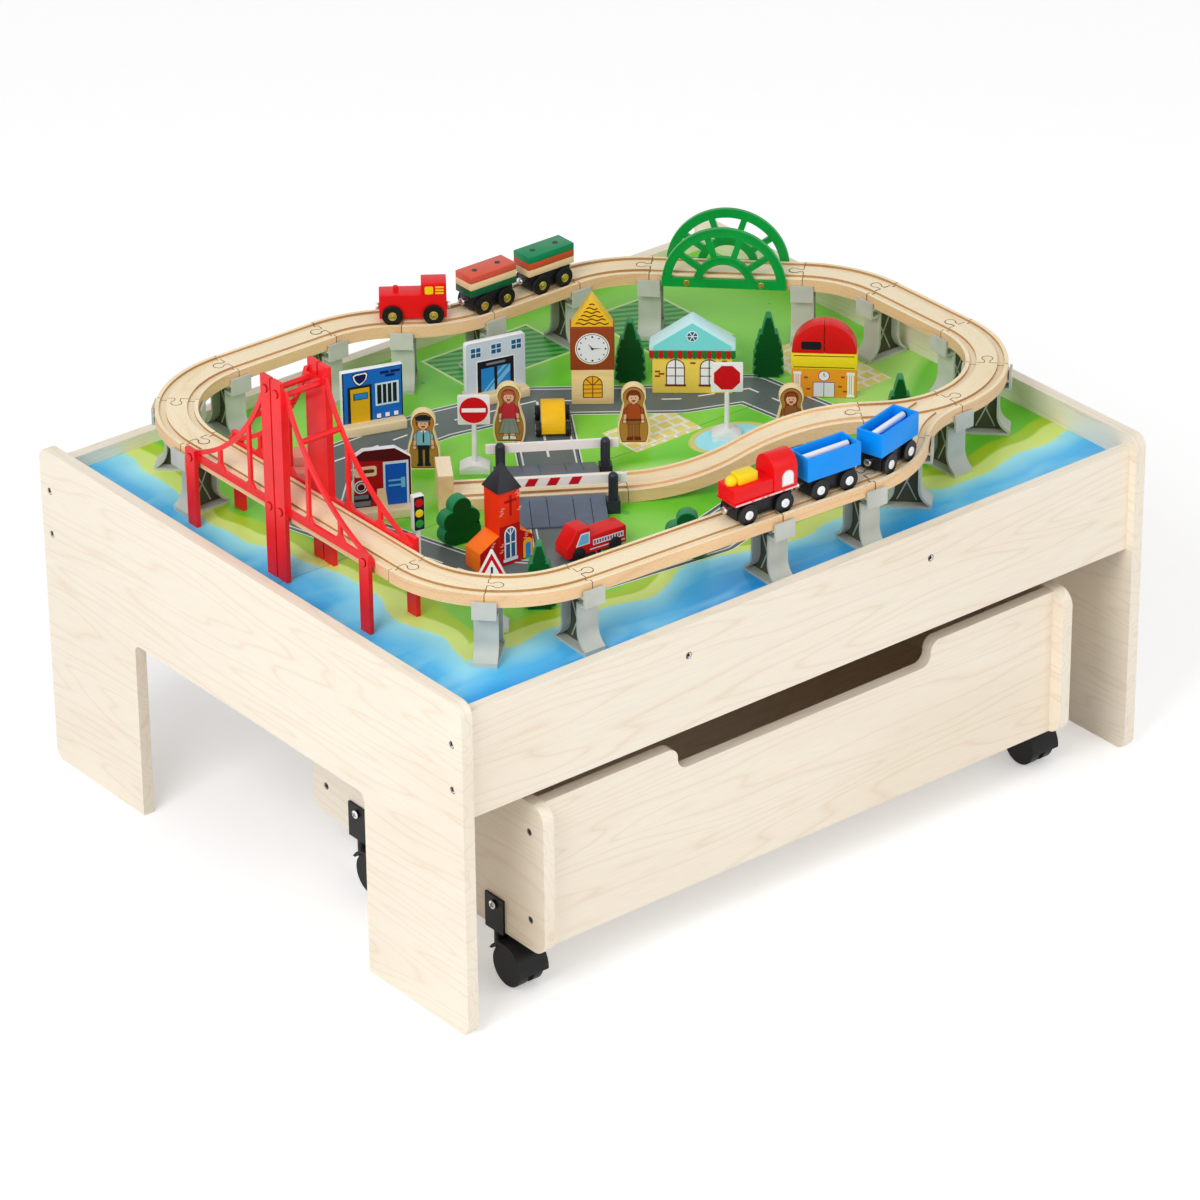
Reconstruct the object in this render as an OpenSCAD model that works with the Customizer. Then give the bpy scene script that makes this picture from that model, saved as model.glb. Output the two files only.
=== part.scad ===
// Train table: a low play table with an elevated toy railway, a drawer on casters,
// two bridges, two trains and a set of play pieces. Millimetres, +Z up, front faces -Y.

/* [Table] */
// Table width, left to right
table_w = 800; // [795:1:900]
// Table depth, front to back
table_d = 640; // [638:1:760]
// Height to the tops of the end panels
table_h = 332; // [310:1:420]
// Thickness of the laminated boards
board_t = 12; // [9:0.5:13]
// Width of each leg
leg_w = 144; // [100:1:180]
// Height of the cut-out between the legs
cutout_h = 183; // [120:1:200]
// Radius of the end panels' outer corners
panel_r = 12; // [4:1:20]
// Radius of the cut-out's corners
cutout_r = 8; // [3:1:20]
// How far the aprons stand back from the end panels' edges
apron_inset = 8.6; // [4:0.2:9]
// How far the aprons' tops sit below the end panels' tops
apron_drop = 12.7; // [6:0.1:20]
// Height of the aprons
apron_h = 105; // [80:1:108]
// Depth of the play board's face below the aprons' tops
play_drop = 13; // [8:0.5:20]
// Thickness of the play board
play_t = 6; // [4:0.5:9]
// Gap along the seam between the two halves of the play board
seam_gap = 0.4; // [0.2:0.1:1]
// Width of the rails under the play board
rail_w = 20; // [15:1:30]
// Height of the rails under the play board
rail_h = 40; // [25:1:50]
// Distance of each rail from the middle of the table
rail_x = 142; // [100:1:200]

/* [Drawer] */
// Gap between the drawer and each end panel
drawer_gap = 74.5; // [68:0.5:110]
// Drawer depth, front to back
drawer_d = 343; // [300:1:420]
// Height of the drawer's lower edge above the floor
drawer_z = 47.2; // [46.5:0.1:50]
// Gap between the tops of the drawer's sides and the front apron
drawer_clear = 16.1; // [4:0.1:50]
// Radius of the drawer sides' corners
drawer_r = 16; // [6:1:24]
// How far the drawer's front and back stand in from the sides' ends
drawer_inset = 14.4; // [8:0.2:20]
// Thickness of the drawer's bottom
drawer_floor_t = 5; // [3:0.5:8]
// Height of the bottom above the drawer's lower edge
drawer_floor_z = 6; // [4:0.5:12]
// Half length of the scooped handle along its lower edge
scoop_half = 150; // [90:1:200]
// Depth of the scooped handle
scoop_d = 24; // [18:1:36]
// Radius of the scooped handle's corners
scoop_r = 11; // [6:0.5:12]

/* [Casters] */
// Caster wheel radius
caster_r = 20; // [18:0.5:20]
// Width of each of a caster's two wheels
caster_wheel_t = 10; // [8:0.5:11]
// Distance of the wheel's axle from the swivel axis
caster_trail = 23; // [22:0.5:25]
// Distance of the swivel axes from the drawer's ends
caster_inset = 70; // [60:1:90]
// Width of the bracket plate on the drawer's side
bracket_w = 26; // [20:1:34]
// Height of the bracket plate above the drawer's lower edge
bracket_h = 33; // [26:1:45]
// Thickness of the bracket
bracket_t = 2.4; // [1.6:0.1:2.6]
// Radius of the swivel stem
stem_r = 4; // [3:0.1:5]
// Running clearance in bores
bore_gap = 0.06; // [0.02:0.01:0.1]

/* [Track] */
// Track width
track_w = 40; // [36:0.5:40]
// Track thickness
track_t = 12; // [10:0.5:14]
// Distance between the middles of the two grooves
gauge = 26; // [25:0.5:27]
// Groove width
groove_w = 6.4; // [6:0.1:7]
// Groove depth
groove_d = 2.5; // [2.4:0.1:3.5]
// Radius of the bends at the track's middle
bend_r = 110; // [106:1:114]
// Height of the track's underside above the play board
pier_h = 58; // [50:1:70]
// Where the loop starts: the left end of the front straight
loop_x = -222; // [-230:1:-215]
// Distance of the loop's start in front of the table's middle
loop_y = -258.5; // [-262:0.5:-250]
// Slant of the front straight
front_slant = 3; // [0:0.5:3]
// Length of the long front straight
front_long = 208; // [200:1:216]
// Length of the short front straight
front_short = 104; // [100:1:108]
// Length of the straight on the right
right_len = 106; // [100:1:110]
// Length of the straight under the green arch
arch_len = 148; // [140:1:150]
// Length of the straight behind the clock tower
back_len = 104; // [98:1:108]
// Turn of each of the two bends in the S at the back
back_turn = 41.5; // [40:0.5:43]
// Turn of the switch's second leg
spur_turn = 33; // [30:1:36]
// Straight end of the switch's second leg
spur_lead = 24; // [20:1:30]
// Length of the ramp down to the play board
ramp_len = 216; // [200:1:230]
// Length of the flat piece through the level crossing
spur_len = 160; // [144:1:170]
// Gap left where two track pieces meet
joint_gap = 0.4; // [0.3:0.1:0.8]
// Radius of the joining peg's head
peg_r = 5; // [4:0.5:5]
// Distance of the peg's head from the end of its piece
peg_len = 9; // [8:0.5:11]
// Width of the peg's neck
peg_neck = 5; // [4:0.5:6]

/* [Piers] */
// Pier width along the track
pier_w = 22; // [18:0.5:22]
// Clearance between the track's side and the clip plates
clip_gap = 1.2; // [1:0.1:1.2]
// Thickness of the clip plates and flanges
clip_t = 2.4; // [1.6:0.1:2.4]
// Height of the clip plates above the track's underside
clip_up = 6; // [4:0.5:8]
// Half width of the pier's waist
waist = 13; // [9:0.5:15]
// Radius of the pier's flared foot
flare_r = 18; // [14:1:22]
// Thickness of the pier's middle web
web_t = 3; // [2:0.2:5]

/* [Red bridge] */
// Half length of the bridge from its middle to its end legs
bridge_half = 131; // [120:1:132]
// Height of the towers above the play board
tower_h = 198; // [150:1:210]
// Width of each pillar and leg
pillar_w = 14; // [10:0.5:16]
// Thickness of the pillars and legs
pillar_t = 4.4; // [3:0.2:6]
// Thickness of the side trusses
truss_t = 3; // [2:0.2:4]
// Width of the cables and hangers
cable_w = 4.4; // [3:0.2:6]
// Sag of each cable below a straight line
cable_sag = 18; // [10:1:24]
// Radius of the cross bars
bar_r = 3; // [2:0.2:4]

/* [Green arch] */
// Outer radius of the arch
arch_r = 60; // [50:0.2:62]
// Width of the arch's outer ring
arch_ring = 9; // [6:0.5:12]
// Outer radius of the arch's inner ring
arch_inner_r = 30; // [24:1:34]
// Thickness of the arch's sides
arch_t = 4; // [3:0.2:5]

/* [Level crossing] */
// Distance of the crossing's middle from the start of the flat piece
crossing_at = 64; // [60:1:80]
// Width of the road ramps along the track
crossing_w = 84; // [70:1:86]
// Distance of the ramps' outer ends from the track's middle
crossing_reach = 62; // [52:1:70]
// Distance of the posts from the crossing's middle along the track
post_x = 48.6; // [48.4:0.1:56]
// Distance of the posts from the crossing's middle across the track
post_y = 35.2; // [34:0.2:40]
// Height of the posts
post_h = 40; // [34:1:50]
// Height of the barrier arms above the play board
arm_z = 31; // [27:0.5:34]
// Height of a barrier arm's bar
arm_w = 8.8; // [6:0.2:10]
// Thickness of a barrier arm
arm_t = 3; // [2:0.2:4]

/* [Trains] */
// Train wheel radius
wheel_r = 10; // [9:0.2:10.5]
// Train wheel thickness
wheel_t = 3.2; // [2.6:0.1:3.3]
// How far the wheels sink below the track's top
wheel_sink = 2.2; // [1.6:0.1:2.2]
// Axle radius
axle_r = 1.5; // [1.2:0.1:2]
// Half width of the vehicles' bodies
body_half = 14; // [12:0.5:14.5]
// Half width of the chassis between the wheels
chassis_half = 10.6; // [9:0.2:10.8]
// Length and wheelbase of the front engine
front_engine_len = 69; // [64:1:72]
// Wheelbase of the front engine
front_engine_base = 40; // [36:1:42]
// Length of each hopper wagon
hopper_len = 60; // [54:1:62]
// Wheelbase of each hopper wagon
hopper_base = 32; // [28:1:34]
// Length of the back engine
back_engine_len = 64; // [60:1:66]
// Wheelbase of the back engine
back_engine_base = 39; // [34:1:40]
// Length of each flat car
car_len = 55; // [50:1:56]
// Half width of each flat car
car_half = 12; // [11:0.2:13]
// Wheelbase of each flat car
car_base = 27; // [24:1:28]
// How far the front engine stands along the front straight
front_engine_at = 194; // [180:1:200]
// How far the first hopper stands along the front straight
hopper_1_at = 270; // [266:1:276]
// How far the second hopper stands into the bend
hopper_2_at = 35; // [33:1:40]
// How far the second flat car stands along the back straight
car_2_at = 28; // [26:1:31]
// How far the first flat car stands along the back straight
car_1_at = 98; // [95:1:99]
// How far the back engine stands into the first bend of the S
back_engine_at = 70; // [66:1:71]

/* [Play pieces] */
// Thickness of the wooden house panels
house_t = 6; // [4:0.5:8]
// Depth of the wooden house blocks
block_d = 18; // [14:1:22]
// Thickness of the trees
tree_t = 12; // [8:0.5:14]
// Thickness of the wooden figures
figure_t = 9; // [6:0.5:12]
// Height of the figures
figure_h = 60; // [50:1:64]
// Height of the road signs
sign_h = 77; // [66:1:84]

/* [Hidden] */
$fn = 48;
eps = 0.02;
cut = 1;

inner_x = table_w / 2 - board_t;
apron_y = table_d / 2 - apron_inset - board_t;
apron_z = table_h - apron_drop - apron_h;
play_z = table_h - apron_drop - play_drop;
deck_z = play_z + pier_h;
top_z = deck_z + track_t;

drawer_w = 2 * (inner_x - drawer_gap);
drawer_h = apron_z - drawer_z - drawer_clear;

bolt_r = 3.5;
bolt_head = 2.2;
bolt_seat = 3;
bolt_shank_r = 2;
bolt_len = 30;
bolt_y = apron_y + board_t / 2;
bolt_low = 31;
bolt_high = 76;
bolt_zs = [apron_z + bolt_low, apron_z + bolt_high];
rail_bolt_z = play_z - play_t - 12;

drawer_front_y = -table_d / 2;
drawer_back_y = drawer_front_y + drawer_d;
drawer_in_x = drawer_w / 2 - board_t;
front_panel_y = drawer_front_y + drawer_inset;
back_panel_y = drawer_back_y - drawer_inset - board_t;
screw_inset = 31;
screw_zs = [drawer_z + screw_inset, drawer_z + drawer_h - screw_inset + 1];
screw_ys = [front_panel_y + board_t / 2, back_panel_y + board_t / 2];
caster_x = drawer_w / 2 - board_t / 2;
caster_ys = [drawer_front_y + caster_inset, drawer_back_y - caster_inset];
CASTERS = [[-1, 0], [1, 0], [-1, 1], [1, 1]];
hood_gap = 1.2;
hood_t = 2.6;
hood_half = 16;
fork_t = 5;
fork_gap = 0.6;
hub_r = 7;
boss_r = 7;
stem_gap = 0.5;
caster_axle_r = 2.2;

// the loop of track: each piece is [length, turn], turning left when positive
turn45 = 45;
corner_turn = (90 - front_slant) / 2;
START = [loop_x, loop_y, -front_slant];
function loop(closing_back, closing_left) = [
    [front_long, 0], [front_short, 0], [0, turn45 + front_slant], [0, -turn45],
    [0, turn45], [0, turn45], [right_len, 0], [0, turn45], [arch_len, 0],
    [0, turn45], [back_len, 0], [0, -back_turn], [0, back_turn], [closing_back, 0],
    [0, turn45], [0, turn45], [closing_left, 0], [0, corner_turn], [0, corner_turn]
];
function side_of(turn) = turn < 0 ? -1 : 1;
function step(p, s) = s[1] == 0
    ? [p[0] + s[0] * cos(p[2]), p[1] + s[0] * sin(p[2]), p[2]]
    : [p[0] + side_of(s[1]) * bend_r * (sin(p[2] + s[1]) - sin(p[2])),
       p[1] + side_of(s[1]) * bend_r * (cos(p[2]) - cos(p[2] + s[1])), p[2] + s[1]];
function walk(pieces, i) = i < 1 ? START : step(walk(pieces, i - 1), pieces[i - 1]);
OPEN_LOOP = loop(0, 0);
open_end = walk(OPEN_LOOP, len(OPEN_LOOP));
LOOP = loop(open_end[0] - loop_x, open_end[1] - loop_y);
function joint(i) = walk(LOOP, i);
// which piece of the loop is the switch, the bridge deck, the arch's straight and so on
ORDER = [3, 16, 8, 2, 10, 11];
switch_i = ORDER[0];
deck_i = ORDER[1];
arch_i = ORDER[2];
hopper_2_i = ORDER[3];
cars_i = ORDER[4];
back_engine_i = ORDER[5];
BENDS = [2, 4, 5, 7, 9, 11, 12, 14, 15, 17, 18];
STRAIGHTS = [0, 1, 6, 8, 10, 13, 16];
PIERS = [for (i = [0 : len(LOOP) - 1]) if (i != deck_i + 1) i];
stem = joint(switch_i + 1);
spur_bend = step([0, 0, 0], [0, -spur_turn]);
spur_end = step(spur_bend, [spur_lead, 0]);
// along a bend by an arc length: the pose on the middle line
function along(i, s) = LOOP[i][1] == 0
    ? step(joint(i), [s, 0])
    : step(joint(i), [0, side_of(LOOP[i][1]) * s / bend_r * 180 / PI]);

ramp_angle = 2 * atan(pier_h / ramp_len);
ramp_r = ramp_len / (2 * sin(ramp_angle));
clip_in = track_w / 2 + clip_gap;
clip_out = clip_in + clip_t;
shelf = 11;
foot_t = 3;
foot = clip_out;

bridge_mid = along(deck_i, LOOP[deck_i][0] / 2);
truss_in = track_w / 2 + 0.5;
truss_out = truss_in + truss_t;
truss_rail_z = deck_z + 8;
truss_rail_h = 7;
tower_half = pillar_w + 1;
cable_top = play_z + tower_h - 12;
cable_end = truss_rail_z + truss_rail_h;
bar_us = [pillar_w / 2 + 1, tower_half + 20];

post_block = 12;
post_block_h = 13;
post_r = 4.6;
pin_r = 1.8;
arm_gap = 0.5;
arm_over = 13;

wheel_z = wheel_r - wheel_sink;
wheel_in = gauge / 2 - wheel_t / 2;
chassis_z = 3;
floor_z = wheel_z + wheel_r + 1;
coupler_r = 3.4;
coupler_z = 12;
coupler_out = 3.5;

cream = [0.93, 0.87, 0.76];
beech = [0.87, 0.70, 0.48];
grey = [0.62, 0.65, 0.62];
red = [0.88, 0.12, 0.14];
green = [0.05, 0.55, 0.22];
blue = [0.05, 0.48, 0.86];
black = [0.08, 0.08, 0.09];
steel = [0.75, 0.76, 0.78];
white = [0.95, 0.95, 0.95];

// places its children at a pose [x, y, heading] and a height
module at(p, z) { translate([p[0], p[1], z]) rotate([0, 0, p[2]]) children(); }

// rounded rectangle from the origin
module round_rect(w, h, r) {
    translate([r, 0]) square([w - 2 * r, h]);
    translate([0, r]) square([w, h - 2 * r]);
    for (x = [r, w - r]) for (y = [r, h - r]) translate([x, y]) circle(r);
}

// stands a flat outline, drawn in width and height, up to face -Y with thickness t behind it
module upright(t) { translate([0, t, 0]) rotate([90, 0, 0]) linear_extrude(t) children(); }

// bolt along +Z: head sunk in its seat below z = 0, shank going up into the work
module bolt(length) {
    difference() {
        translate([0, 0, bolt_seat - bolt_head]) cylinder(r = bolt_r, h = bolt_head);
        translate([0, 0, bolt_seat - bolt_head - cut]) cylinder(r = bolt_shank_r, h = bolt_head, $fn = 6);
    }
    translate([0, 0, bolt_seat]) cylinder(r = bolt_shank_r, h = length - bolt_seat);
}
module bolt_hole(length) {
    translate([0, 0, -cut]) cylinder(r = bolt_r + bore_gap, h = bolt_seat + cut);
    translate([0, 0, bolt_seat - cut]) cylinder(r = bolt_shank_r + bore_gap, h = length + cut);
}

// every bolt of the table, each pointing into the work
module table_bolt_places() {
    for (s = [-1, 1]) for (f = [-1, 1]) {
        for (z = bolt_zs)
            translate([s * table_w / 2, f * bolt_y, z]) rotate([0, -s * 90, 0]) children();
        translate([s * rail_x, f * (apron_y + board_t), rail_bolt_z]) rotate([f * 90, 0, 0]) children();
    }
}

// Table
module end_panel() {
    difference() {
        rotate([90, 0, 90]) linear_extrude(board_t) difference() {
            translate([-table_d / 2, 0]) round_rect(table_d, table_h, panel_r);
            translate([-table_d / 2 + leg_w, -cutout_r])
                round_rect(table_d - 2 * leg_w, cutout_h + cutout_r, cutout_r);
        }
    }
}
module end_panel_left() {
    color(cream) difference() {
        translate([-table_w / 2, 0, 0]) end_panel();
        table_bolt_places() bolt_hole(bolt_len);
    }
}
module end_panel_right() {
    color(cream) difference() {
        translate([inner_x, 0, 0]) end_panel();
        table_bolt_places() bolt_hole(bolt_len);
    }
}
module apron(y) {
    difference() {
        translate([-inner_x, y, apron_z]) cube([2 * inner_x, board_t, apron_h]);
        table_bolt_places() bolt_hole(bolt_len);
    }
}
module apron_front() { color(cream) apron(-apron_y - board_t); }
module apron_back() { color(cream) apron(apron_y); }
module board_rails() {
    color(cream) difference() {
        for (s = [-1, 1])
            translate([s * rail_x - rail_w / 2, -apron_y, play_z - play_t - rail_h])
                cube([rail_w, 2 * apron_y, rail_h]);
        table_bolt_places() bolt_hole(bolt_len);
    }
}
module play_boards() {
    color([0.45, 0.78, 0.36]) for (s = [0, 1])
        translate([-inner_x, s * seam_gap / 2 - (1 - s) * apron_y, play_z - play_t])
            cube([2 * inner_x, apron_y - seam_gap / 2, play_t]);
}
module table_bolts() { color([0.2, 0.2, 0.22]) table_bolt_places() bolt(bolt_len); }

// Track
module blank_section() { translate([-track_w / 2, 0]) square([track_w, track_t]); }
module groove_section() {
    for (s = [-1, 1])
        translate([s * gauge / 2 - groove_w / 2, track_t - groove_d]) square([groove_w, groove_d + cut]);
}
module straight_run(length) { rotate([90, 0, 90]) linear_extrude(length) children(); }
module bend_run(turn) {
    mirror([0, turn < 0 ? 1 : 0, 0]) translate([0, bend_r, 0]) rotate([0, 0, -90])
        rotate_extrude(angle = abs(turn), $fn = 128) translate([bend_r, 0]) children();
}
module peg(gap, height) {
    linear_extrude(height) {
        translate([-joint_gap - 2 * eps, -peg_neck / 2 - gap])
            square([peg_len + joint_gap, peg_neck + 2 * gap]);
        translate([peg_len, 0]) circle(peg_r + gap);
    }
}
module socket() { translate([0, 0, -cut]) peg(joint_gap, track_t + 2 * cut); }
module track_straight(length, end_peg) {
    difference() {
        straight_run(length - joint_gap) blank_section();
        translate([-cut, 0, 0]) straight_run(length + 2 * cut) groove_section();
        socket();
    }
    if (end_peg) translate([length, 0, 0]) peg(0, track_t);
}
module track_bend(turn) {
    gap_turn = joint_gap / bend_r * 180 / PI;
    short_turn = side_of(turn) * (abs(turn) - gap_turn);
    difference() {
        bend_run(short_turn) blank_section();
        bend_run(turn) groove_section();
        socket();
    }
    at(step([0, 0, 0], [0, turn]), 0) peg(0, track_t);
}
module track_straights() {
    color(beech) for (i = STRAIGHTS) at(joint(i), deck_z) track_straight(LOOP[i][0], true);
}
module track_curves() {
    color(beech) for (i = BENDS) at(joint(i), deck_z) track_bend(LOOP[i][1]);
}
// Switch, drawn from its stem: each leg's outline runs along its bend and on into a straight lead
leg_steps = 24;
function backward(points) = [for (k = [len(points) - 1 : -1 : 0]) points[k]];
function leg_line(turn, offset, first, lead) = let (k = side_of(turn), r = bend_r - k * offset)
    concat([[first, offset]],
        [for (i = [1 : leg_steps]) let (a = abs(turn) * i / leg_steps)
            [r * sin(a), k * (bend_r - r * cos(a))]],
        lead > 0 ? [[r * sin(abs(turn)) + lead * cos(turn),
            k * (bend_r - r * cos(turn)) + lead * sin(turn)]] : []);
module leg_band(turn, from, to, first, lead) {
    polygon(concat(leg_line(turn, from, first, lead), backward(leg_line(turn, to, first, lead))));
}
module leg_grooves(turn, lead) {
    for (s = [-1, 1])
        leg_band(turn, s * gauge / 2 - groove_w / 2, s * gauge / 2 + groove_w / 2, -cut, lead);
}
module track_switch() {
    color(beech) {
        difference() {
            at(stem, deck_z) rotate([0, 0, 180]) difference() {
                linear_extrude(track_t) {
                    leg_band(turn45, -track_w / 2, track_w / 2, joint_gap, 0);
                    leg_band(-spur_turn, -track_w / 2, track_w / 2, joint_gap, spur_lead - joint_gap);
                }
                translate([0, 0, track_t - groove_d]) linear_extrude(groove_d + cut) {
                    leg_grooves(turn45, cut);
                    leg_grooves(-spur_turn, spur_lead + cut);
                }
            }
            at(joint(switch_i), deck_z) socket();
        }
        at(stem, deck_z) peg(0, track_t);
        at(stem, deck_z) rotate([0, 0, 180]) at(spur_end, 0) peg(0, track_t);
    }
}

// Ramp down to the board: two equal arcs in side view, the second one hollow
ramp_steps = 16;
function ramp_arc(r) = [for (k = [0 : ramp_steps])
    let (a = ramp_angle * k / ramp_steps) [r * sin(a), track_t / 2 - ramp_r + r * cos(a)]];
function hollow_arc(r) = [for (k = [ramp_steps - 1 : -1 : 0])
    let (a = ramp_angle * k / ramp_steps)
    [ramp_len - r * sin(a), track_t / 2 - pier_h + ramp_r - r * cos(a)]];
function ramp_line(rise) = concat(ramp_arc(ramp_r + rise), hollow_arc(ramp_r - rise));
module ramp_side(sink) {
    polygon(concat(ramp_line(track_t / 2 - sink), backward(ramp_line(-track_t / 2))));
}
module ramp_band(y, w, sink) {
    translate([0, y + w / 2, 0]) rotate([90, 0, 0]) linear_extrude(w) ramp_side(sink);
}
module ramp() {
    ridge = (track_w - gauge - groove_w) / 2;
    core = gauge - groove_w;
    difference() {
        union() {
            ramp_band(0, track_w, groove_d);
            ramp_band(0, core, 0);
            for (s = [-1, 1]) ramp_band(s * (track_w - ridge) / 2, ridge, 0);
        }
        translate([0, 0, -track_t]) peg(joint_gap, 3 * track_t);
        translate([ramp_len - joint_gap, -track_w, -pier_h - cut]) cube([track_w, 2 * track_w, 2 * track_t]);
    }
    translate([ramp_len, 0, -pier_h]) peg(0, track_t);
}
buffer_t = 14;
buffer_h = 37;
module on_spur(s, z) {
    at(stem, z) rotate([0, 0, 180]) at(spur_end, 0) translate([s, 0, 0]) children();
}
module track_spur() {
    color(beech) {
        on_spur(0, deck_z) ramp();
        on_spur(ramp_len, play_z) track_straight(spur_len, false);
        on_spur(ramp_len + spur_len, play_z)
            translate([0, -track_w / 2, 0]) cube([buffer_t, track_w, buffer_h]);
    }
}

// Piers: flared plastic columns with a web, and clip plates that hold the track's sides
module pier_outline(skin) {
    under = pier_h - shelf;
    translate([-waist + skin, skin]) square([2 * (waist - skin), pier_h - 2 * skin]);
    for (s = [0, 1]) mirror([s, 0]) difference() {
        translate([0, skin]) square([foot - skin, flare_r + foot_t - skin]);
        translate([waist + flare_r, foot_t + flare_r]) circle(flare_r + skin);
        translate([waist - skin, foot_t + flare_r - eps]) square(flare_r);
    }
    translate([-clip_out + skin, under + skin]) square([2 * (clip_out - skin), shelf - 2 * skin]);
}
module pier() {
    rotate([90, 0, 90]) translate([0, 0, -pier_w / 2]) linear_extrude(pier_w) {
        difference() {
            pier_outline(0);
            pier_outline(clip_t);
        }
        for (s = [-1, 1])
            translate([s * (clip_in + clip_t / 2) - clip_t / 2, pier_h - eps]) square([clip_t, clip_up]);
    }
    rotate([90, 0, 90]) translate([0, 0, -web_t / 2]) linear_extrude(web_t) pier_outline(clip_t / 2);
}
module piers() { color(grey) for (i = PIERS) at(joint(i), play_z) pier(); }

// Red bridge, drawn with u running along the track from the bridge's middle
cable_run = bridge_half - tower_half;
cable_fall = cable_top - cable_end;
cable_chord = sqrt(cable_run * cable_run + cable_fall * cable_fall);
cable_r = cable_chord * cable_chord / (8 * cable_sag) + cable_sag / 2;
cable_middle = [tower_half + cable_run / 2, (cable_top + cable_end) / 2];
cable_centre = cable_middle + (cable_r - cable_sag) * [cable_fall, cable_run] / cable_chord;
function cable_z(u) = cable_centre[1] - sqrt(pow(cable_r, 2) - pow(u - cable_centre[0], 2));
bar_zs = [cable_top - bar_r - 1, cable_z(bar_us[1])];
module cable_arc(w) { translate(cable_centre) circle(cable_r + w, $fn = 180); }
module truss_half() {
    end_u = bridge_half + pillar_w / 2;
    hangers = [tower_half + cable_run * 0.25, tower_half + cable_run * 0.65];
    translate([0, truss_rail_z]) square([end_u, truss_rail_h]);
    intersection() {
        difference() {
            cable_arc(cable_w / 2);
            cable_arc(-cable_w / 2);
        }
        translate([0, truss_rail_z + truss_rail_h / 2]) square([end_u, cable_top - truss_rail_z]);
    }
    for (u = hangers) difference() {
        translate([u - cable_w / 2, truss_rail_z]) square([cable_w, cable_top - truss_rail_z]);
        cable_arc(0);
    }
}
bridge_pose = [bridge_mid[0], bridge_mid[1], bridge_mid[2] + turn45 * 4];
module bridge_side(s) { at(bridge_pose, 0) mirror([0, s, 0]) children(); }
module bridge_trusses() {
    color(red) for (s = [0, 1]) bridge_side(s) translate([0, truss_out, 0]) rotate([90, 0, 0])
        linear_extrude(truss_t) {
            for (m = [0, 1]) mirror([m, 0]) truss_half();
            translate([-tower_half, truss_rail_z]) square([2 * tower_half, cable_top - truss_rail_z]);
        }
}
module upright_plate(u, h, hole_zs) {
    difference() {
        translate([u - pillar_w / 2, truss_out, play_z]) cube([pillar_w, pillar_t, h]);
        for (z = hole_zs)
            translate([u, truss_out - cut, z]) rotate([-90, 0, 0])
                cylinder(r = bolt_shank_r + bore_gap, h = pillar_t + 2 * cut);
    }
}
tower_bolt_zs = [truss_rail_z + truss_rail_h / 2, cable_top];
leg_h = truss_rail_z + truss_rail_h + 5 - play_z;
tower_us = [-tower_half + pillar_w / 2, tower_half - pillar_w / 2];
leg_us = [-bridge_half, bridge_half];
module bridge_uprights() {
    color(red) for (s = [0, 1]) bridge_side(s) {
        for (u = tower_us) upright_plate(u, tower_h, tower_bolt_zs);
        for (u = leg_us) upright_plate(u, leg_h, [tower_bolt_zs[0]]);
    }
}
module bridge_bolt(u, z) {
    translate([u, truss_out, z]) rotate([-90, 0, 0]) {
        cylinder(r = bolt_shank_r, h = pillar_t);
        translate([0, 0, pillar_t]) cylinder(r = bolt_r, h = 1.4);
    }
}
module bridge_bars() {
    color(red) {
        for (s = [0, 1]) bridge_side(s) {
            for (u = tower_us) for (z = tower_bolt_zs) bridge_bolt(u, z);
            for (u = leg_us) bridge_bolt(u, tower_bolt_zs[0]);
        }
        for (k = [0, 1]) for (m = [-1, 1]) bridge_side(0)
            translate([m * bar_us[k], -truss_in, bar_zs[k]])
                rotate([-90, 0, 0]) cylinder(r = bar_r, h = 2 * truss_in);
    }
}

// Green arch over the straight at the back right
arch_shift = 1.2;
arch_pose = along(arch_i, arch_len / 2 + arch_shift);
arch_lift = 1.5;
arch_foot = 3;
arch_z = deck_z + arch_lift + arch_foot;
arch_beam = 9;
arch_screw_u = 36;
arch_screw_z = arch_beam / 2 - arch_foot;
arch_screw_us = [-arch_screw_u, arch_screw_u];
spoke_w = 6;
spoke_turn = 36;
side_gap = 0.5;
module arch_outline() {
    difference() {
        union() {
            difference() {
                circle(arch_r, $fn = 96);
                circle(arch_r - arch_ring, $fn = 96);
            }
            difference() {
                circle(arch_inner_r, $fn = 72);
                circle(arch_inner_r - arch_ring + 1, $fn = 72);
            }
            difference() {
                for (a = [spoke_turn : spoke_turn : 4 * spoke_turn])
                    rotate(a) translate([0, -spoke_w / 2]) square([arch_r - arch_ring / 2, spoke_w]);
                circle(arch_inner_r - arch_ring / 2, $fn = 72);
            }
            translate([-arch_r, -arch_foot]) square([2 * arch_r, arch_beam]);
        }
        translate([-2 * arch_r, -2 * arch_r - arch_foot]) square([4 * arch_r, 2 * arch_r]);
    }
}
module arch_side(s) {
    at(arch_pose, arch_z) mirror([0, s, 0]) translate([0, track_w / 2 + side_gap + arch_t, 0]) children();
}
module arch_sides() {
    color(green) for (s = [0, 1]) arch_side(s) difference() {
        rotate([90, 0, 0]) linear_extrude(arch_t) arch_outline();
        for (u = arch_screw_us)
            translate([u, cut, arch_screw_z]) rotate([90, 0, 0])
                cylinder(r = bolt_shank_r + bore_gap, h = arch_t + 2 * cut);
    }
}
module arch_screws() {
    color([0.85, 0.68, 0.3]) for (s = [0, 1]) arch_side(s) for (u = arch_screw_us)
        translate([u, 0, arch_screw_z]) rotate([90, 0, 0]) {
            cylinder(r = bolt_shank_r, h = arch_t);
            translate([0, 0, -1.3]) cylinder(r = bolt_r - 0.3, h = 1.3);
        }
}

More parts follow.
